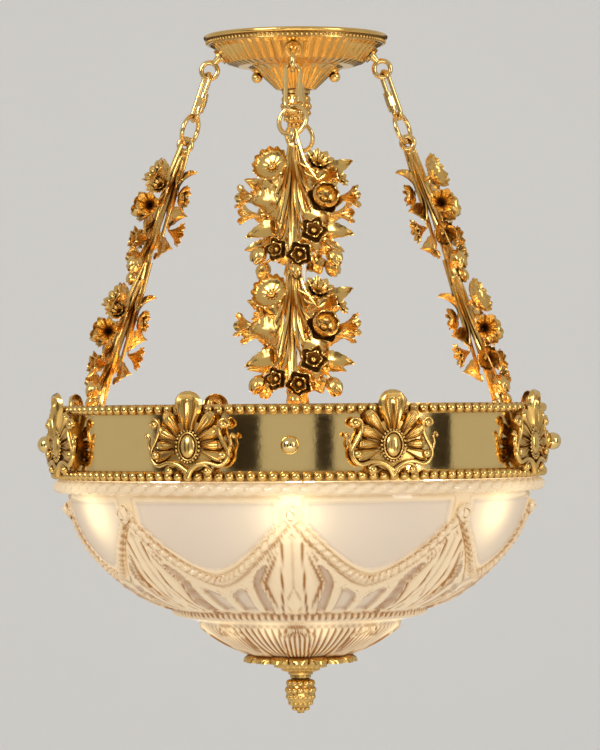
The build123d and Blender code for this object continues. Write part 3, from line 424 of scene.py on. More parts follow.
def bowlRelief(turnShare, radius, drop):
    # height of the pressed relief and how satin it is; turnShare runs once round from the front knot
    sector = (turnShare * bowl["knots"] + 0.5) % 1 - 0.5
    reach = np.abs(sector) * 2
    across = sector * 2 * math.pi / bowl["knots"] * radius
    side = np.abs(across)
    swag = swagDrop(reach)
    gap = drop - swag
    height = np.zeros_like(radius)
    # smooth satin panel between the rim and the swag, a raised lip round it
    panel = rise((-gap - 8) / 3) * rise((drop - relief["panelTop"]) / 3) * rise((side - 13) / 4)
    lip = rise((-gap - 5) / 2) * rise((drop - relief["lipTop"]) / 2) * rise((side - 10) / 2) - panel
    height += relief["lipRise"] * lip - relief["panelSink"] * panel
    # tall faceted petal under each knot, a raised edge round it and a seam down each half
    petalHalf = widthAt(drop, relief["petal"])
    petalEnds = rise((relief["petalFoot"] - drop) / 3)
    inPetal = rise((petalHalf - side) / 2.5) * rise((drop - relief["petalTop"]) / 4) * petalEnds
    seam = widthAt(drop, relief["seam"])
    facet = relief["facetRise"] - np.abs(side - seam) * 0.2
    diamond = np.clip(1 - side / 8 - np.abs(drop - relief["diamondDrop"]) / 15, 0, 1) * relief["diamondRise"]
    height += inPetal * (facet + diamond)
    edge = np.exp(-((petalHalf - side) / 1.3) ** 2)
    height += relief["edgeRise"] * edge * rise((drop - (relief["petalTop"] + 2)) / 4) * petalEnds
    height -= relief["seamDepth"] * np.exp(-((side - seam) / 1.2) ** 2) * inPetal
    # round-topped flutes below the swag
    cell = ((sector + 0.5) * bowl["flutes"]) % 1 - 0.5
    cellHalf = math.pi / bowl["knots"] / bowl["flutes"] * radius
    cellSide = np.abs(cell) * 2 * cellHalf
    fluteHalf = cellHalf * relief["fluteShare"]
    dome = np.sqrt(np.clip(1 - (cellSide / fluteHalf) ** 2, 0, 1))
    fluteTop = swag + 13 + (1 - dome) * fluteHalf
    inFlute = rise((drop - fluteTop) / 2) * rise((relief["fluteFoot"] - drop) / 3)
    inFlute = inFlute * rise((fluteHalf - cellSide) / 1.5)
    inFlute = inFlute * (1 - rise((petalHalf - side + 3) / 2))
    belowSwag = rise((gap - 6) / 4) * rise((relief["bodyFoot"] - drop) / 3) * (1 - inPetal)
    height += belowSwag * (1.6 - inFlute * (1.4 + 1.6 * dome))
    height += 0.9 * np.exp(-((drop - fluteTop) / 1.4) ** 2) * belowSwag * (cellSide < fluteHalf)
    # beaded waist
    waist = np.exp(-((drop - relief["waistDrop"]) / 2.8) ** 2)
    height += waist * (0.8 + 1.0 * np.cos(2 * math.pi * turnShare * relief["waistBeads"]))
    # dome: scallop shell under each petal, flutes between
    inDome = rise((drop - relief["domeTop"]) / 3) * rise((relief["domeFoot"] - drop) / 4)
    shellHalf = widthAt(drop, relief["shell"])
    inShell = rise((shellHalf - side) / 1.5)
    shellRay = np.abs(np.cos(across / np.maximum(shellHalf, 1) * math.pi * relief["shellRays"]))
    ray = np.abs(np.cos(sector * math.pi * relief["domeRays"]))
    height += inDome * (inShell * (1.4 + 1.9 * shellRay) + (1 - inShell) * (1.8 * ray))
    satin = np.clip(panel + 0.8 * inFlute * dome, 0, 1)
    return height * relief["growth"], satin


def ringOfSpots(count, first, ring, spotDrop, x, y, drop):
    # squared distance to each spot of a ring
    for index in range(count):
        angle = math.radians(first + 360 // count * index)
        yield (x - ring * math.cos(angle)) ** 2 + (y - ring * math.sin(angle)) ** 2 + (drop - spotDrop) ** 2


def glowAt(x, y, drop):
    # how strongly the bulbs behind light the glass
    strength = np.zeros_like(x)
    for away in ringOfSpots(lit["bulbs"], lit["firstBulb"], lit["bulbRing"], lit["bulbDrop"], x, y, drop):
        strength += 1.1 * np.exp(-away / lit["bulbCore"] ** 2) + 0.22 * np.exp(-away / lit["bulbHalo"] ** 2)
    for away in ringOfSpots(lit["spots"], lit["firstSpot"], lit["spotRing"], lit["spotDrop"], x, y, drop):
        strength += 0.7 * np.exp(-away / lit["spotSpread"] ** 2)
    return strength * rise((drop - lit["fadeTop"]) / lit["fadeLength"])


def roundAndOut(spots):
    # share of a turn from the front knot, and radius
    turnShare = (np.arctan2(spots[:, 1], spots[:, 0]) + math.pi / 2) / (2 * math.pi)
    return turnShare, np.hypot(spots[:, 0], spots[:, 1])


def cutShadeAt(spots):
    # how far the relief lies below its own surroundings, kept as the painted shade of a cut
    turnShare, radius = roundAndOut(spots)
    level, _ = bowlRelief(turnShare, radius, -spots[:, 2])
    around = np.zeros_like(level)
    for aside, below in ((3, 0), (-3, 0), (0, 3), (0, -3)):
        shifted = turnShare + aside / (2 * math.pi * np.maximum(radius, 20))
        around += bowlRelief(shifted, radius, -spots[:, 2] + below)[0] / 4
    return np.clip((around - level) * relief["cutShadeContrast"], 0, 1)


def maskPiece(piece):
    # keeps on each corner what the glass finish reads
    spots = np.empty(len(piece.data.vertices) * 3)
    piece.data.vertices.foreach_get("co", spots)
    spots = spots.reshape(-1, 3) / mm
    _, satin = bowlRelief(*roundAndOut(spots), -spots[:, 2])
    masks = {"satin": satin, "glow": glowAt(spots[:, 0], spots[:, 1], -spots[:, 2]), "cut": cutShadeAt(spots)}
    for name, values in masks.items():
        layer = piece.data.attributes.new(name, "FLOAT", "POINT")
        layer.data.foreach_set("value", np.asarray(values, dtype=np.float32))


def outerShape(across, along):
    radius, drop, outward, downward = alongLine(along)
    height, _ = bowlRelief(across, radius, drop)
    height = height * rise((drop - bowl["shoulder"]) / 2)
    angle = across * 2 * math.pi - math.pi / 2
    r = radius + outward * height
    return [r * np.cos(angle), r * np.sin(angle), -(drop + downward * height)]


def innerShape(across, along):
    radius, drop, outward, downward = alongLine(along)
    angle = across * 2 * math.pi - math.pi / 2
    r = radius - outward * bowl["wall"]
    return [r * np.cos(angle), r * np.sin(angle), -(drop - downward * bowl["wall"])]


def ringShape(first, second):
    # flat or conical band between two (radius, drop) circles
    def shape(across, along):
        angle = across * 2 * math.pi - math.pi / 2
        r = first[0] + (second[0] - first[0]) * along
        return [r * np.cos(angle), r * np.sin(angle), -(first[1] + (second[1] - first[1]) * along)]
    return shape


bowlOuter = gridPiece("bowlOuter", bowl["columns"], bowl["rows"], outerShape, 0.01)
bowlInner = gridPiece("bowlInner", 144, 40, innerShape, 0.01)
bowlInner.data.flip_normals()
bowlParts = [bowlOuter, bowlInner]
floorRadius, floorDrop = bowl["floor"]
innerDrop = floorDrop - bowl["wall"]
for name, sides, first, second in (
        ("rimTop", 144, (bowl["bodyRadius"], bowl["top"]), (bowl["bodyRadius"] - bowl["wall"], bowl["top"])),
        ("floorOuter", 96, (floorRadius, floorDrop), (bowl["hole"], floorDrop)),
        ("floorInner", 96, (floorRadius, innerDrop), (bowl["hole"], innerDrop))):
    bowlParts.append(gridPiece(name, sides, 1, ringShape(first, second), 0.01))
glassBowl = finishPiece(gather(bowlParts, "glassBowl"), crystal, 50)
maskPiece(glassBowl)
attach(glassBowl, "bowl_set")
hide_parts("glass_bowl")
print("bowl made", len(glassBowl.data.polygons))


def strands(radius, turns, depth):
    # radius of two strands laid round one another
    def swell(angle, along):
        return radius * (1 - depth + depth * 1.5 * np.abs(np.cos(angle + along * turns * math.pi)))
    return swell


rimAngle = np.linspace(0, 2 * math.pi, bowl["ropeTwists"] * 8 + 1)
rimLine = np.stack([bowl["ropeRing"] * np.cos(rimAngle), bowl["ropeRing"] * np.sin(rimAngle),
                    -bowl["ropeDrop"] + 0 * rimAngle], 1)
rimOut = np.stack([np.cos(rimAngle), np.sin(rimAngle), 0 * rimAngle], 1)
rimSwell = strands(bowl["ropeRadius"], bowl["ropeTwists"], bowl["ropeDepth"])
ropeParts = [tube("rimRope", rimLine, rimOut, 12, rimSwell)]

# twisted swags hung between the knots, each knot three crossed loops round a ball
swag = {"radius": 4.0, "twists": 26, "depth": 0.46, "steps": 150, "proud": 1.6, "knotDrop": 456,
        "knotRing": 221.5, "knotRadius": 8.0, "loopRadius": 2.7, "loopTilts": (0.0, 1.1, -1.1)}
for index in range(bowl["knots"]):
    start = -math.pi / 2 + index * 2 * math.pi / bowl["knots"]
    share = np.linspace(0, 1, swag["steps"] + 1)
    reach = 1 - np.abs(share * 2 - 1)
    drop = swagDrop(reach)
    radius = np.interp(drop, outerLine[:, 1], outerLine[:, 0]) + swag["proud"]
    angle = start + share * 2 * math.pi / bowl["knots"]
    line = np.stack([radius * np.cos(angle), radius * np.sin(angle), -drop], 1)
    out = np.stack([np.cos(angle), np.sin(angle), -0.5 + 0 * angle], 1)
    ropeParts.append(tube("swag", line, out, 10, strands(swag["radius"], swag["twists"], swag["depth"])))
    knot = []
    for turnStep, tilt in enumerate(swag["loopTilts"]):
        ring = np.linspace(0, 2 * math.pi, 33)
        loop = np.stack([swag["knotRadius"] * 0.62 * np.cos(ring), swag["knotRadius"] * 0.8 * np.sin(ring),
                         0 * ring], 1)
        knot.append(tube("knotLoop", loop, (0, 0, 1), 8,
                         lambda angle, along: swag["loopRadius"] + 0.5 * np.cos(3 * angle + along * 18)))
        knot[-1].data.transform(Matrix.Rotation(tilt, 4, "Z") @ Matrix.Rotation(0.35 * turnStep, 4, "X"))
    deselect()
    bpy.ops.mesh.primitive_uv_sphere_add(segments=20, ring_count=12, radius=swag["knotRadius"] * 0.72)
    knot.append(bpy.context.object)
    for part in knot:
        knotPlace = (math.cos(start) * swag["knotRing"], math.sin(start) * swag["knotRing"],
                     -swag["knotDrop"])
        part.data.transform(stand(knotPlace, (math.cos(start), math.sin(start), -0.1)))
    ropeParts += knot
ropes = finishPiece(gather(ropeParts, "bowlRopes"), crystal, 60)
maskPiece(ropes)
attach(ropes, "bowl_set")
print("ropes made", len(ropes.data.polygons))

# one flower casting: twigs from the top fan out to blossoms, buds and leaves
spray = {"length": 126.4, "lean": 18.6, "eyeRadius": 85.9, "eyeDrop": 40.3, "top": -77.4, "gap": 0.05,
         "stem": 3.2, "sheet": 0.9}


def blossom(name, outline, lobes, lobeLength, ribDepth, columns=84, rows=9):
    # turned flower whose rim is cut into lobes and whose wall has ribs
    def shape(across, along):
        angle = across * 2 * math.pi
        lobe = np.abs(np.cos(angle * lobes / 2)) ** 0.7
        reach = 1 + (lobe - 1) * lobeLength * along ** 3
        radius, level = outlineAt(outline, along)
        radius = radius * reach + ribDepth * np.cos(angle * lobes * 2) * along * 0.35
        level = level * reach + ribDepth * lobe * along
        return [radius * np.cos(angle), radius * np.sin(angle), level]

    return thicken(gridPiece(name, columns, rows, shape, 0.01), spray["sheet"])


def leafBlade(name, length, width, teeth, arch, columns=8, rows=18):
    # leaf along +Y with a sunk midrib, side veins and a toothed edge
    def shape(across, along):
        side = across * 2 - 1
        half = width / 2 * np.sin(np.clip(along, 0.03, 0.995) ** 0.75 * math.pi) ** 0.8
        half = half * (1 + 0.14 * np.abs(np.sin(along * math.pi * teeth))) + 0.7 * (1 - along)
        vein = 0.35 * np.cos((along * 2.2 - np.abs(side) * 0.7) * math.pi * teeth)
        lift = arch * np.sin(along * math.pi) + 0.16 * width * np.abs(side) ** 1.4 - arch * 1.2 * along ** 3
        return [side * half, along * length, lift + vein * np.abs(side)]

    return thicken(gridPiece(name, columns, rows, shape), spray["sheet"])


def ball(radius, place, segments=14):
    deselect()
    bpy.ops.mesh.primitive_uv_sphere_add(segments=segments, ring_count=segments // 2 + 1, radius=radius,
                                         location=place)
    piece = bpy.context.object
    deselect()
    piece.select_set(True)
    bpy.ops.object.transform_apply(location=True, rotation=False, scale=False)
    return piece


daisyOutline = ((0.5, 0), (5, 0.4), (10, 1.0), (14, 2.6), (16.4, 5.4), (17.6, 8.6))
daisyParts = [blossom("daisy", daisyOutline, 13, 0.13, 0.9)]
daisyParts.append(ball(3.6, (0, 0, 1)))
for seed in range(10):
    turned = seed * math.pi / 5
    daisyParts.append(ball(0.9, (5.2 * math.cos(turned), 5.2 * math.sin(turned), 1.5), 6))
daisy = gather(daisyParts, "daisy")
trumpetOutline = ((1.6, 0), (2.2, 4), (3.2, 9), (5, 13.5), (8, 18), (11.6, 21.6))
trumpet = blossom("trumpet", trumpetOutline, 6, 0.16, 1.1, 72, 10)
cupParts = [blossom("cup", ((0.6, 0), (6, 0.8), (10, 4), (12, 8), (12.2, 12), (11.2, 14.6)), 7, 0.08, 0.5)]
cupParts.append(blossom("cupOuter", ((3, -2), (8, -1.4), (12, 1), (15, 3.4), (17, 4.6)), 6, 0.3, 1.0))
cupParts.append(ball(3.4, (0, 0, 2.4)))
for seed in range(6):
    turned = seed * math.pi / 3
    cupParts.append(ball(1.1, (5 * math.cos(turned), 5 * math.sin(turned), 3.4), 6))
cupFlower = gather(cupParts, "cupFlower")
carnation = gather([
    blossom("carnation", ((0.6, 0), (3, 4), (6, 8), (10, 11), (13.5, 12.6)), 9, 0.18, 1.4),
    blossom("carnationInner", ((0.6, 2), (2.4, 6), (4.4, 10), (7.6, 13)), 7, 0.2, 1.2, 60, 7),
], "carnation")
rosette = gather([
    blossom("rosette", ((0.6, 0), (5, 0.6), (9, 2.6), (11.4, 5.6)), 5, 0.36, 0.9),
    blossom("rosetteInner", ((0.6, 2), (3.4, 3), (5.6, 5.6), (6.4, 8)), 5, 0.3, 0.7, 60, 7),
    ball(2.6, (0, 0, 4)),
], "rosette")
bud = gather([
    blossom("bud", ((0.8, 0), (4.4, 2.4), (6.6, 6), (7.4, 10), (6.4, 14), (4.2, 17)), 4, 0.1, 1.0, 48, 9),
    blossom("budInner", ((0.8, 3), (4, 8), (4.8, 12), (3.6, 16), (0.4, 19)), 3, 0.1, 0.5, 36, 8),
], "bud")
longLeaf = leafBlade("longLeaf", 37, 15, 6, 3.0)
broadLeaf = leafBlade("broadLeaf", 27, 21, 4, 2.2)

# shape, place, way it opens, roll, size, and the corner its twig leaves the bundle
blossomPlaces = (
    (daisy, (-17.5, -27, 11), (-0.35, 0.15, 1), 0.2, 1.0, (-3, -30, 1)),
    (trumpet, (-29, -58, 8), (-1, 0.08, 0.25), 0.3, 1.0, (-8, -44, 3)),
    (cupFlower, (29, -60, 11), (0.3, 0.1, 1), 0.1, 1.0, (9, -38, 2)),
    (carnation, (22, -29, 8), (0.3, 0.45, 1), 0.5, 1.05, (5, -18, 2)),
    (trumpet, (41, -58, 8), (1, 0.05, 0.2), 0.0, 0.95, (16, -50, 2)),
    (rosette, (20, -92, 12), (0.1, -0.1, 1), 0.4, 1.15, (6, -62, 3)),
    (rosette, (8, -112, 9), (-0.1, -0.5, 1), 0.9, 1.1, (2, -86, 2)),
    (carnation, (38, -38, 4), (0.9, 0.3, 0.5), 0.1, 0.75, (14, -30, 1)),
    (rosette, (-12, -108, 9), (-0.4, -0.3, 1), 0.2, 1.0, (-4, -80, 2)),
    (daisy, (-16, -84, 2), (-0.8, -0.2, 0.5), 0.7, 0.7, (-6, -60, 0)),
    (bud, (-27, -104, 7), (-0.35, -0.9, 0.1), 0.0, 1.0, (-12, -74, 5)),
    (bud, (36, -106, 6), (0.35, -0.9, 0.1), 0.6, 1.0, (14, -84, 3)),
    (bud, (3, -120, 7), (0.05, -1, 0.15), 0.3, 0.8, (1, -96, 4)),
    (rosette, (6, -40, -10), (0.1, 0.1, -1), 0.1, 1.2, (2, -26, -3)),
    (carnation, (-8, -74, -10), (-0.3, 0, -1), 0.5, 0.9, (-3, -54, -3)),
)
# shape, place, heading and tilt in degrees
leafPlaces = (
    (longLeaf, (-9, -84, 4), 112, 18),
    (longLeaf, (22, -88, 4), -100, 14),
    (longLeaf, (24, -38, 6), -62, 10),
    (broadLeaf, (-14, -60, 3), 95, 25),
    (broadLeaf, (3, -34, -7), -25, -25),
    (broadLeaf, (-4, -66, -8), 60, -25),
    (broadLeaf, (5, -96, -8), -75, -25),
    (broadLeaf, (12, -70, 4), -120, 12),
)
# tip and the corner it bends at
tendrils = (((-26, -74, 6), (-9, -36, 5)), ((-30, -84, 4), (-10, -48, 4)), ((-14, -100, 6), (-5, -52, 5)),
            ((17, -70, 8), (5, -34, 5)), ((14, -104, 6), (4, -62, 5)), ((24, -96, 2), (9, -58, 3)))
randomiser = random.Random(7)
parts = []
stemPath = smoothLine([(0, 0, 0), (0.6, -40, 1), (-0.5, -90, 0.6), (0, -spray["length"] + 0.2, 0)], 60)


def stemSwell(angle, along):
    # ribbed stem that widens to a collar at each end
    ribs = spray["stem"] + 0.5 * np.cos(5 * angle + along * 9)
    return ribs + 1.3 * np.exp(-along * 12) + 1.3 * np.exp((along - 1) * 12)


parts.append(tube("mainStem", stemPath, (1, 0, 0), 16, stemSwell))
for shapeOf, place, opening, roll, size, corner in blossomPlaces:
    parts.append(copyOf(shapeOf, stand(place, opening, roll, size)))
    sway = randomiser.uniform(-1.5, 1.5)
    begin = (corner[0] * 0.25, -2, corner[2] * 0.6)
    path = smoothLine([begin, (corner[0] * 0.55 + sway, corner[1] * 0.55, corner[2]), corner, place], 22)
    parts.append(tube("twig", path, (0.3, 0.1, 1), 8,
                      lambda angle, along: 1.9 - 0.7 * along + 0.35 * np.cos(2 * angle + 3 * along)))
for shapeOf, place, heading, tilt in leafPlaces:
    matrix = Matrix.Translation(place) @ Matrix.Rotation(math.radians(heading), 4, "Z")
    parts.append(copyOf(shapeOf, matrix @ Matrix.Rotation(math.radians(tilt), 4, "X")))
    start = (place[0] * 0.12, max(place[1] + 52, -8), place[2] * 0.5)
    path = smoothLine([start, (place[0] * 0.5, place[1] + 20, place[2] * 0.8), place], 20)
    parts.append(tube("leafStalk", path, (0.3, 0.1, 1), 7,
                      lambda angle, along: 2.1 - 1.0 * along + 0.3 * np.cos(2 * angle)))
for tip, bend in tendrils:
    path = smoothLine([(bend[0] * 0.15, -4, 2.4), bend, tip], 26)
    parts.append(tube("tendril", path, (0.3, 0.1, 1), 8,
                      lambda angle, along: 2.3 - 1.5 * along + 0.4 * np.cos(3 * angle + 5 * along)))
sprayForm = gather(parts, "sprayForm")
for spare in (daisy, trumpet, cupFlower, carnation, rosette, bud, longLeaf, broadLeaf):
    bpy.data.objects.remove(spare)


def linePlace(angle, height):
    # place on a hanging line: X sideways, Y up the line, Z outward
    lean = math.radians(spray["lean"])
    sideways = Vector((0, 1, 0))
    up = Vector((-math.sin(lean), 0, math.cos(lean)))
    outward = Vector((math.cos(lean), 0, math.sin(lean)))
    turned = Matrix((sideways, up, outward)).transposed().to_4x4()
    start = Vector((spray["eyeRadius"], 0, -spray["eyeDrop"])) + up * height
    return Matrix.Rotation(math.radians(angle), 4, "Z") @ Matrix.Translation(start) @ turned


for armName, armAngle in (("front", -90), ("right", 0), ("back", 90), ("left", 180)):
    for level, height in (("upper", spray["top"]), ("lower", spray["top"] - spray["length"] - spray["gap"])):
        flower = copyOf(sprayForm, linePlace(armAngle, height))
        flower.name = level + armName.capitalize() + "Spray"
        finishPiece(flower, antique, 45)
        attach(flower, "lamp_frame")
        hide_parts(f"{level}_spray_{armName}")
bpy.data.objects.remove(sprayForm)
print("sprays made", len(flower.data.polygons))

# palmette casting: X along the band, Y up, Z outward, from the middle of its cabochon
palmette = {"back": 240.0, "drop": 393.7, "count": 8, "plate": (25, 23), "plateLift": 0.6, "beads": 24,
            "beadRing": (11.5, 14.4), "beadRadius": 1.35, "beadLift": 3.4, "cabochon": (7.4, 11.0, 4.4),
            "cabochonLift": 2.4, "frame": (9.0, 12.4), "frameLift": 3.2, "bossRadius": 6, "bossDepth": 8.2,
            "bossPlace": (0, 2.7, -4.2)}
# heading, start, length, width, rim height, ridge height
petalFan = ((0, 15, 35, 27, 4.4, 4.2), (38, 15, 24, 11, 3.4, 0.6), (63, 13, 22, 10.5, 3.2, 0.6),
            (88, 12, 21, 9, 3.0, 0.5), (108, 15, 22, 11, 2.6, 0.0))
# radius at the start and end, then the corners
scrolls = (
    (2.6, 1.7, ((0, -23), (10, -16.5), (20, -15), (31, -17.5), (37.5, -12), (38.5, -4), (33, 6), (30, 14),
                (31, 22), (36, 24.5), (39.6, 20.5), (36.5, 17.6))),
    (2.0, 1.0, ((38, -6), (41.2, 1), (40.6, 7), (42.8, 11), (45.2, 9.6))),
    (2.4, 1.6, ((0, -28), (4, -21), (11, -16.8), (18, -17.4), (22.4, -21.6), (19.6, -25.4))),
)
# sideways, up, radius
volutes = ((34.6, 19.6, 3.9), (33.6, -8.2, 4.2), (19.2, -22.2, 3.6), (44.2, 8.8, 1.8))


def spoonPetal(length, width, rim, ridge):
    def shape(across, along):
        side = across * 2 - 1
        shoulder = 0.4 + 0.6 * rise(along / 0.68)
        half = width / 2 * shoulder * np.sqrt(1 - 0.97 * np.clip((along - 0.66) / 0.34, 0, 1) ** 2)
        edge = np.maximum(np.abs(side), np.clip((along - 0.5) / 0.5, 0, 1) ** 1.6)
        lift = rim * (0.32 + 0.68 * np.exp(-((edge - 0.74) / 0.17) ** 2)) * (1 - edge ** 8)
        lift = lift + ridge * np.exp(-(side / 0.13) ** 2) * rise((0.86 - along) * 4)
        return [side * half, along * length, lift + 0.09 * rim * length / 10 * along ** 2]

    return thicken(gridPiece("petal", 22, 26, shape), 0.7)


def plateShape(across, along):
    angle = across * 2 * math.pi
    halfWidth, halfHeight = palmette["plate"]
    return [halfWidth * along * np.cos(angle), halfHeight * along * np.sin(angle),
            palmette["plateLift"] + 0 * angle]


palmetteParts = [thicken(gridPiece("plate", 48, 6, plateShape, 0.01), 1.0)]
for sideSign in (-1, 1):
    for heading, start, length, width, rim, ridge in petalFan:
        if heading == 0 and sideSign == 1:
            continue
        petal = spoonPetal(length, width, rim, ridge)
        turned = Matrix.Rotation(math.radians(-heading * sideSign), 4, "Z")
        petal.data.transform(turned @ Matrix.Translation((0, start, 0.8)))
        palmetteParts.append(petal)
    for thick, thin, corners in scrolls:
        path = smoothLine([(x * sideSign, y, 2.6) for x, y in corners], 9 * len(corners))
        palmetteParts.append(tube("scroll", path, (0, 0, 1), 12, lambda angle, along, thick=thick, thin=thin:
                                  thick + (thin - thick) * along + 0.35 * np.cos(2 * angle)))
    for x, y, radius in volutes:
        palmetteParts.append(ball(radius, (x * sideSign, y, 2.8), 18))
for bead in range(palmette["beads"]):
    turned = bead * 2 * math.pi / palmette["beads"]
    spot = (palmette["beadRing"][0] * math.cos(turned), palmette["beadRing"][1] * math.sin(turned),
            palmette["beadLift"])
    palmetteParts.append(ball(palmette["beadRadius"], spot, 10))
deselect()
bpy.ops.mesh.primitive_uv_sphere_add(segments=36, ring_count=18, radius=1)
cabochon = bpy.context.object
cabochonSize = Matrix.Diagonal((*palmette["cabochon"], 1))
cabochon.data.transform(Matrix.Translation((0, 0, palmette["cabochonLift"])) @ cabochonSize)
palmetteParts.append(cabochon)
ringTurn = np.linspace(0, 2 * math.pi, 61)
ringLine = np.stack([palmette["frame"][0] * np.cos(ringTurn), palmette["frame"][1] * np.sin(ringTurn),
                     palmette["frameLift"] + 0 * ringTurn], 1)
palmetteParts.append(tube("frameRing", ringLine, (0, 0, 1), 8, lambda angle, along: 1.0 + 0 * angle))
deselect()
bpy.ops.mesh.primitive_cylinder_add(vertices=24, radius=palmette["bossRadius"], depth=palmette["bossDepth"],
                                    location=palmette["bossPlace"])
boss = bpy.context.object
boss.select_set(True)
bpy.ops.object.transform_apply(location=True, rotation=False, scale=False)
palmetteParts.append(boss)
palmetteForm = gather(palmetteParts, "palmetteForm")
for vertex in palmetteForm.data.vertices:
    vertex.co.z -= vertex.co.x ** 2 / (2 * palmette["back"])
for number in range(palmette["count"]):
    angle = -90 + 360 / palmette["count"] * (number + 0.5)
    place = Matrix.Rotation(math.radians(angle), 4, "Z") @ Matrix(
        ((0, 0, 1, palmette["back"]), (1, 0, 0, 0), (0, 1, 0, -palmette["drop"]), (0, 0, 0, 1)))
    casting = copyOf(palmetteForm, place)
    casting.name = f"palmetteCasting{number + 1}"
    finishPiece(casting, antique, 50)
    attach(casting, "lamp_frame")
    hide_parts(f"palmette_{number + 1}")
bpy.data.objects.remove(palmetteForm)
print("palmettes made", len(casting.data.polygons))

# leaf collar under the bowl: a veined dish whose rim is cut into curled leaf tips
collar = {"leaves": 16, "top": 600.8, "columns": 384, "rows": 22, "sheet": 1.1,
          "outline": ((5.7, 0), (20, 0), (36, -3.2), (44, -4.9), (50, -4.4), (53.6, -1.2), (54.6, 2.4)),
          "cup": ((5.7, 1.6), (32, 1.6), (31, 4.2), (27, 4.6), (25, 6.6), (24.4, 8.2), (18.4, 9.4),
                  (17.4, 11.4), (15.6, 12.2), (12, 13.2), (11.6, 15.4), (5.7, 15.4))}


def collarShape(across, along):
    angle = across * 2 * math.pi
    leafTip = np.abs(np.cos(angle * collar["leaves"] / 2)) ** 0.6
    reach = 1 - 0.2 * (1 - leafTip) * along ** 4
    radius, level = outlineAt(collar["outline"], along)
    radius = radius * reach
    vein = 0.5 * np.abs(np.cos(angle * collar["leaves"] * 1.5)) * rise(along * 2 - 0.8)
    return [radius * np.cos(angle), radius * np.sin(angle), -(collar["top"] + 0.7 + level) + vein]


def cupShape(across, along):
    angle = across * 2 * math.pi
    radius, level = outlineAt(collar["cup"], along)
    flute = 1 + 0.035 * np.cos(angle * 24) * rise((along - 0.25) * 5) * rise((0.85 - along) * 5)
    radius = radius * flute
    return [radius * np.cos(angle), radius * np.sin(angle), -(collar["top"] + level)]


collarDish = thicken(gridPiece("collarDish", collar["columns"], collar["rows"], collarShape, 0.01),
                      collar["sheet"])
collarPiece = gather([collarDish, gridPiece("collarCup", 192, 33, cupShape, 0.01)], "leafCollar")
finishPiece(collarPiece, antique, 45)
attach(collarPiece, "bowl_set")
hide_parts("leaf_collar")
print("collar made", len(collarPiece.data.polygons))

# clear cord from the top pinecone to the hollow rod
cordSizes = {"radius": 0.0024, "length": 0.2786,
             "points": ((0, 0, -0.0904), (0, 0, -0.12435), (0.005, 0.003, -0.17435), (0.007, 0.002, -0.22835),
                        (0.003, -0.002, -0.28235), (0, 0, -0.33035), (0, 0, -0.3684))}
cordCurve = bpy.data.curves.new("powerCord", "CURVE")
cordCurve.dimensions = "3D"
cordSpline = cordCurve.splines.new("NURBS")
cordSpline.points.add(len(cordSizes["points"]) - 1)
for point, place in zip(cordSpline.points, cordSizes["points"]):
    point.co = (*place, 1)
cordSpline.order_u = 3
cordSpline.use_endpoint_u = True
cordCurve.bevel_depth = cordSizes["radius"]
cordCurve.bevel_resolution = 4
cordCurve.resolution_u = 16
cordCurve.use_fill_caps = True
cordCurve.materials.append(cable)
cord = bpy.data.objects.new("powerCord", cordCurve)
bpy.context.scene.collection.objects.link(cord)
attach(cord, "canopy_assembly")
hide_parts("power_cord")
print("cord made")

# camera: level with the middle of the band, long lens
view = {"azimuth": 1.9, "roll": 0.45, "distance": 3.5, "height": -0.366, "pixel": 0.965, "axisX": 298.5,
        "levelY": 415, "picture": (600, 750), "sensor": 36}
width, height = view["picture"]
azimuth = math.radians(view["azimuth"])
camera = bpy.data.cameras.new("camera")
cameraObject = bpy.data.objects.new("camera", camera)
bpy.context.scene.collection.objects.link(cameraObject)
cameraObject.location = (view["distance"] * math.sin(azimuth), -view["distance"] * math.cos(azimuth),
                         view["height"])
cameraObject.rotation_euler = (math.radians(90), math.radians(view["roll"]), azimuth)
camera.sensor_fit = "VERTICAL"
camera.sensor_height = view["sensor"]
camera.lens = view["sensor"] * view["distance"] / (height * view["pixel"] * mm)
camera.shift_x = -(view["axisX"] - width / 2) / height
camera.shift_y = (view["levelY"] - height / 2) / height
camera.clip_end = 20
bpy.context.scene.camera = cameraObject
bpy.context.scene.view_settings.view_transform = "Standard"

# pale floor that curves up into a backdrop
paper = cloudyFinish("palePaper", (0.82, 0.81, 0.79), (0.8, 0.79, 0.77), 3, 2, 0.8)
room = {"floor": -1250, "front": -6000, "back": 2600, "bend": 900, "height": 3500, "half": 7000}


def backdropShape(across, along):
    turned = np.clip((along - 0.4) / 0.3, 0, 1) * math.pi / 2
    depth = np.where(along < 0.4, room["front"] + along / 0.4 * (room["back"] - room["bend"] - room["front"]),
                     room["back"] - room["bend"] + np.sin(turned) * room["bend"])
    height = room["floor"] + (1 - np.cos(turned)) * room["bend"]
    height = np.where(along > 0.7, height + (along - 0.7) / 0.3 * room["height"], height)
    return [(across * 2 - 1) * room["half"], depth, height]


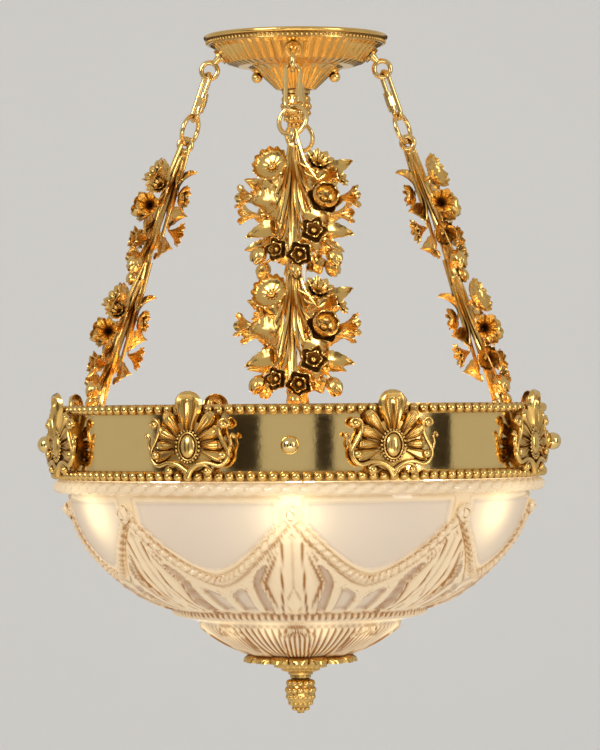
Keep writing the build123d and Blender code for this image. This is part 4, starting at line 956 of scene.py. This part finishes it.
backdrop = gridPiece("backdrop", 8, 60, backdropShape)
finishPiece(backdrop, paper, 60)

world = bpy.data.worlds.new("studio")
bpy.context.scene.world = world
world.use_nodes = True
sky = world.node_tree.nodes["Background"]
sky.inputs["Color"].default_value = (0.9, 0.9, 0.9, 1)
sky.inputs["Strength"].default_value = 0.55


def softLight(name, place, aim, size, power, colour):
    lamp = bpy.data.lights.new(name, "AREA")
    lamp.shape = "RECTANGLE"
    lamp.size, lamp.size_y = size
    lamp.energy = power
    lamp.color = colour
    holder = bpy.data.objects.new(name, lamp)
    bpy.context.scene.collection.objects.link(holder)
    holder.location = place
    holder.rotation_euler = (Vector(aim) - Vector(place)).to_track_quat("-Z", "Y").to_euler()


# black studio cards that only the polished metal sees; arcs in degrees round from the front
card = {"radius": 2000, "foot": -1150, "top": 300,
        "arcs": ((-30, -15), (9, 17), (33, 46), (-66, -48), (62, 74), (150, 175), (-170, -150))}


def cardShape(start, end):
    def shape(across, along):
        angle = np.radians(start + (end - start) * across) - math.pi / 2
        height = card["foot"] + (card["top"] - card["foot"]) * along
        return [card["radius"] * np.cos(angle), card["radius"] * np.sin(angle), height]
    return shape


black = cloudyFinish("blackCard", (0.015, 0.01, 0.008), (0.03, 0.02, 0.015), 4, 2, 0.9)
for number, (start, end) in enumerate(card["arcs"]):
    flag = finishPiece(gridPiece(f"card{number}", 4, 1, cardShape(start, end)), black)
    flag.visible_camera = flag.visible_shadow = flag.visible_diffuse = flag.visible_transmission = False

lights = {
    "keyLight": {"place": (-1.6, -2.2, 1.0), "aim": (0, 0, -0.35), "size": (1.2, 1.2), "power": 42,
                 "colour": (1, 0.97, 0.92)},
    "fillLight": {"place": (2.0, -1.8, 0.1), "aim": (0, 0, -0.35), "size": (0.9, 1.6), "power": 24,
                  "colour": (1, 0.98, 0.95)},
    "lowLight": {"place": (0.2, -1.6, -1.2), "aim": (0, 0, -0.5), "size": (1.2, 0.6), "power": 8,
                 "colour": (1, 0.95, 0.88)},
}
for name, settings in lights.items():
    softLight(name, **settings)
print("stage and lights made")
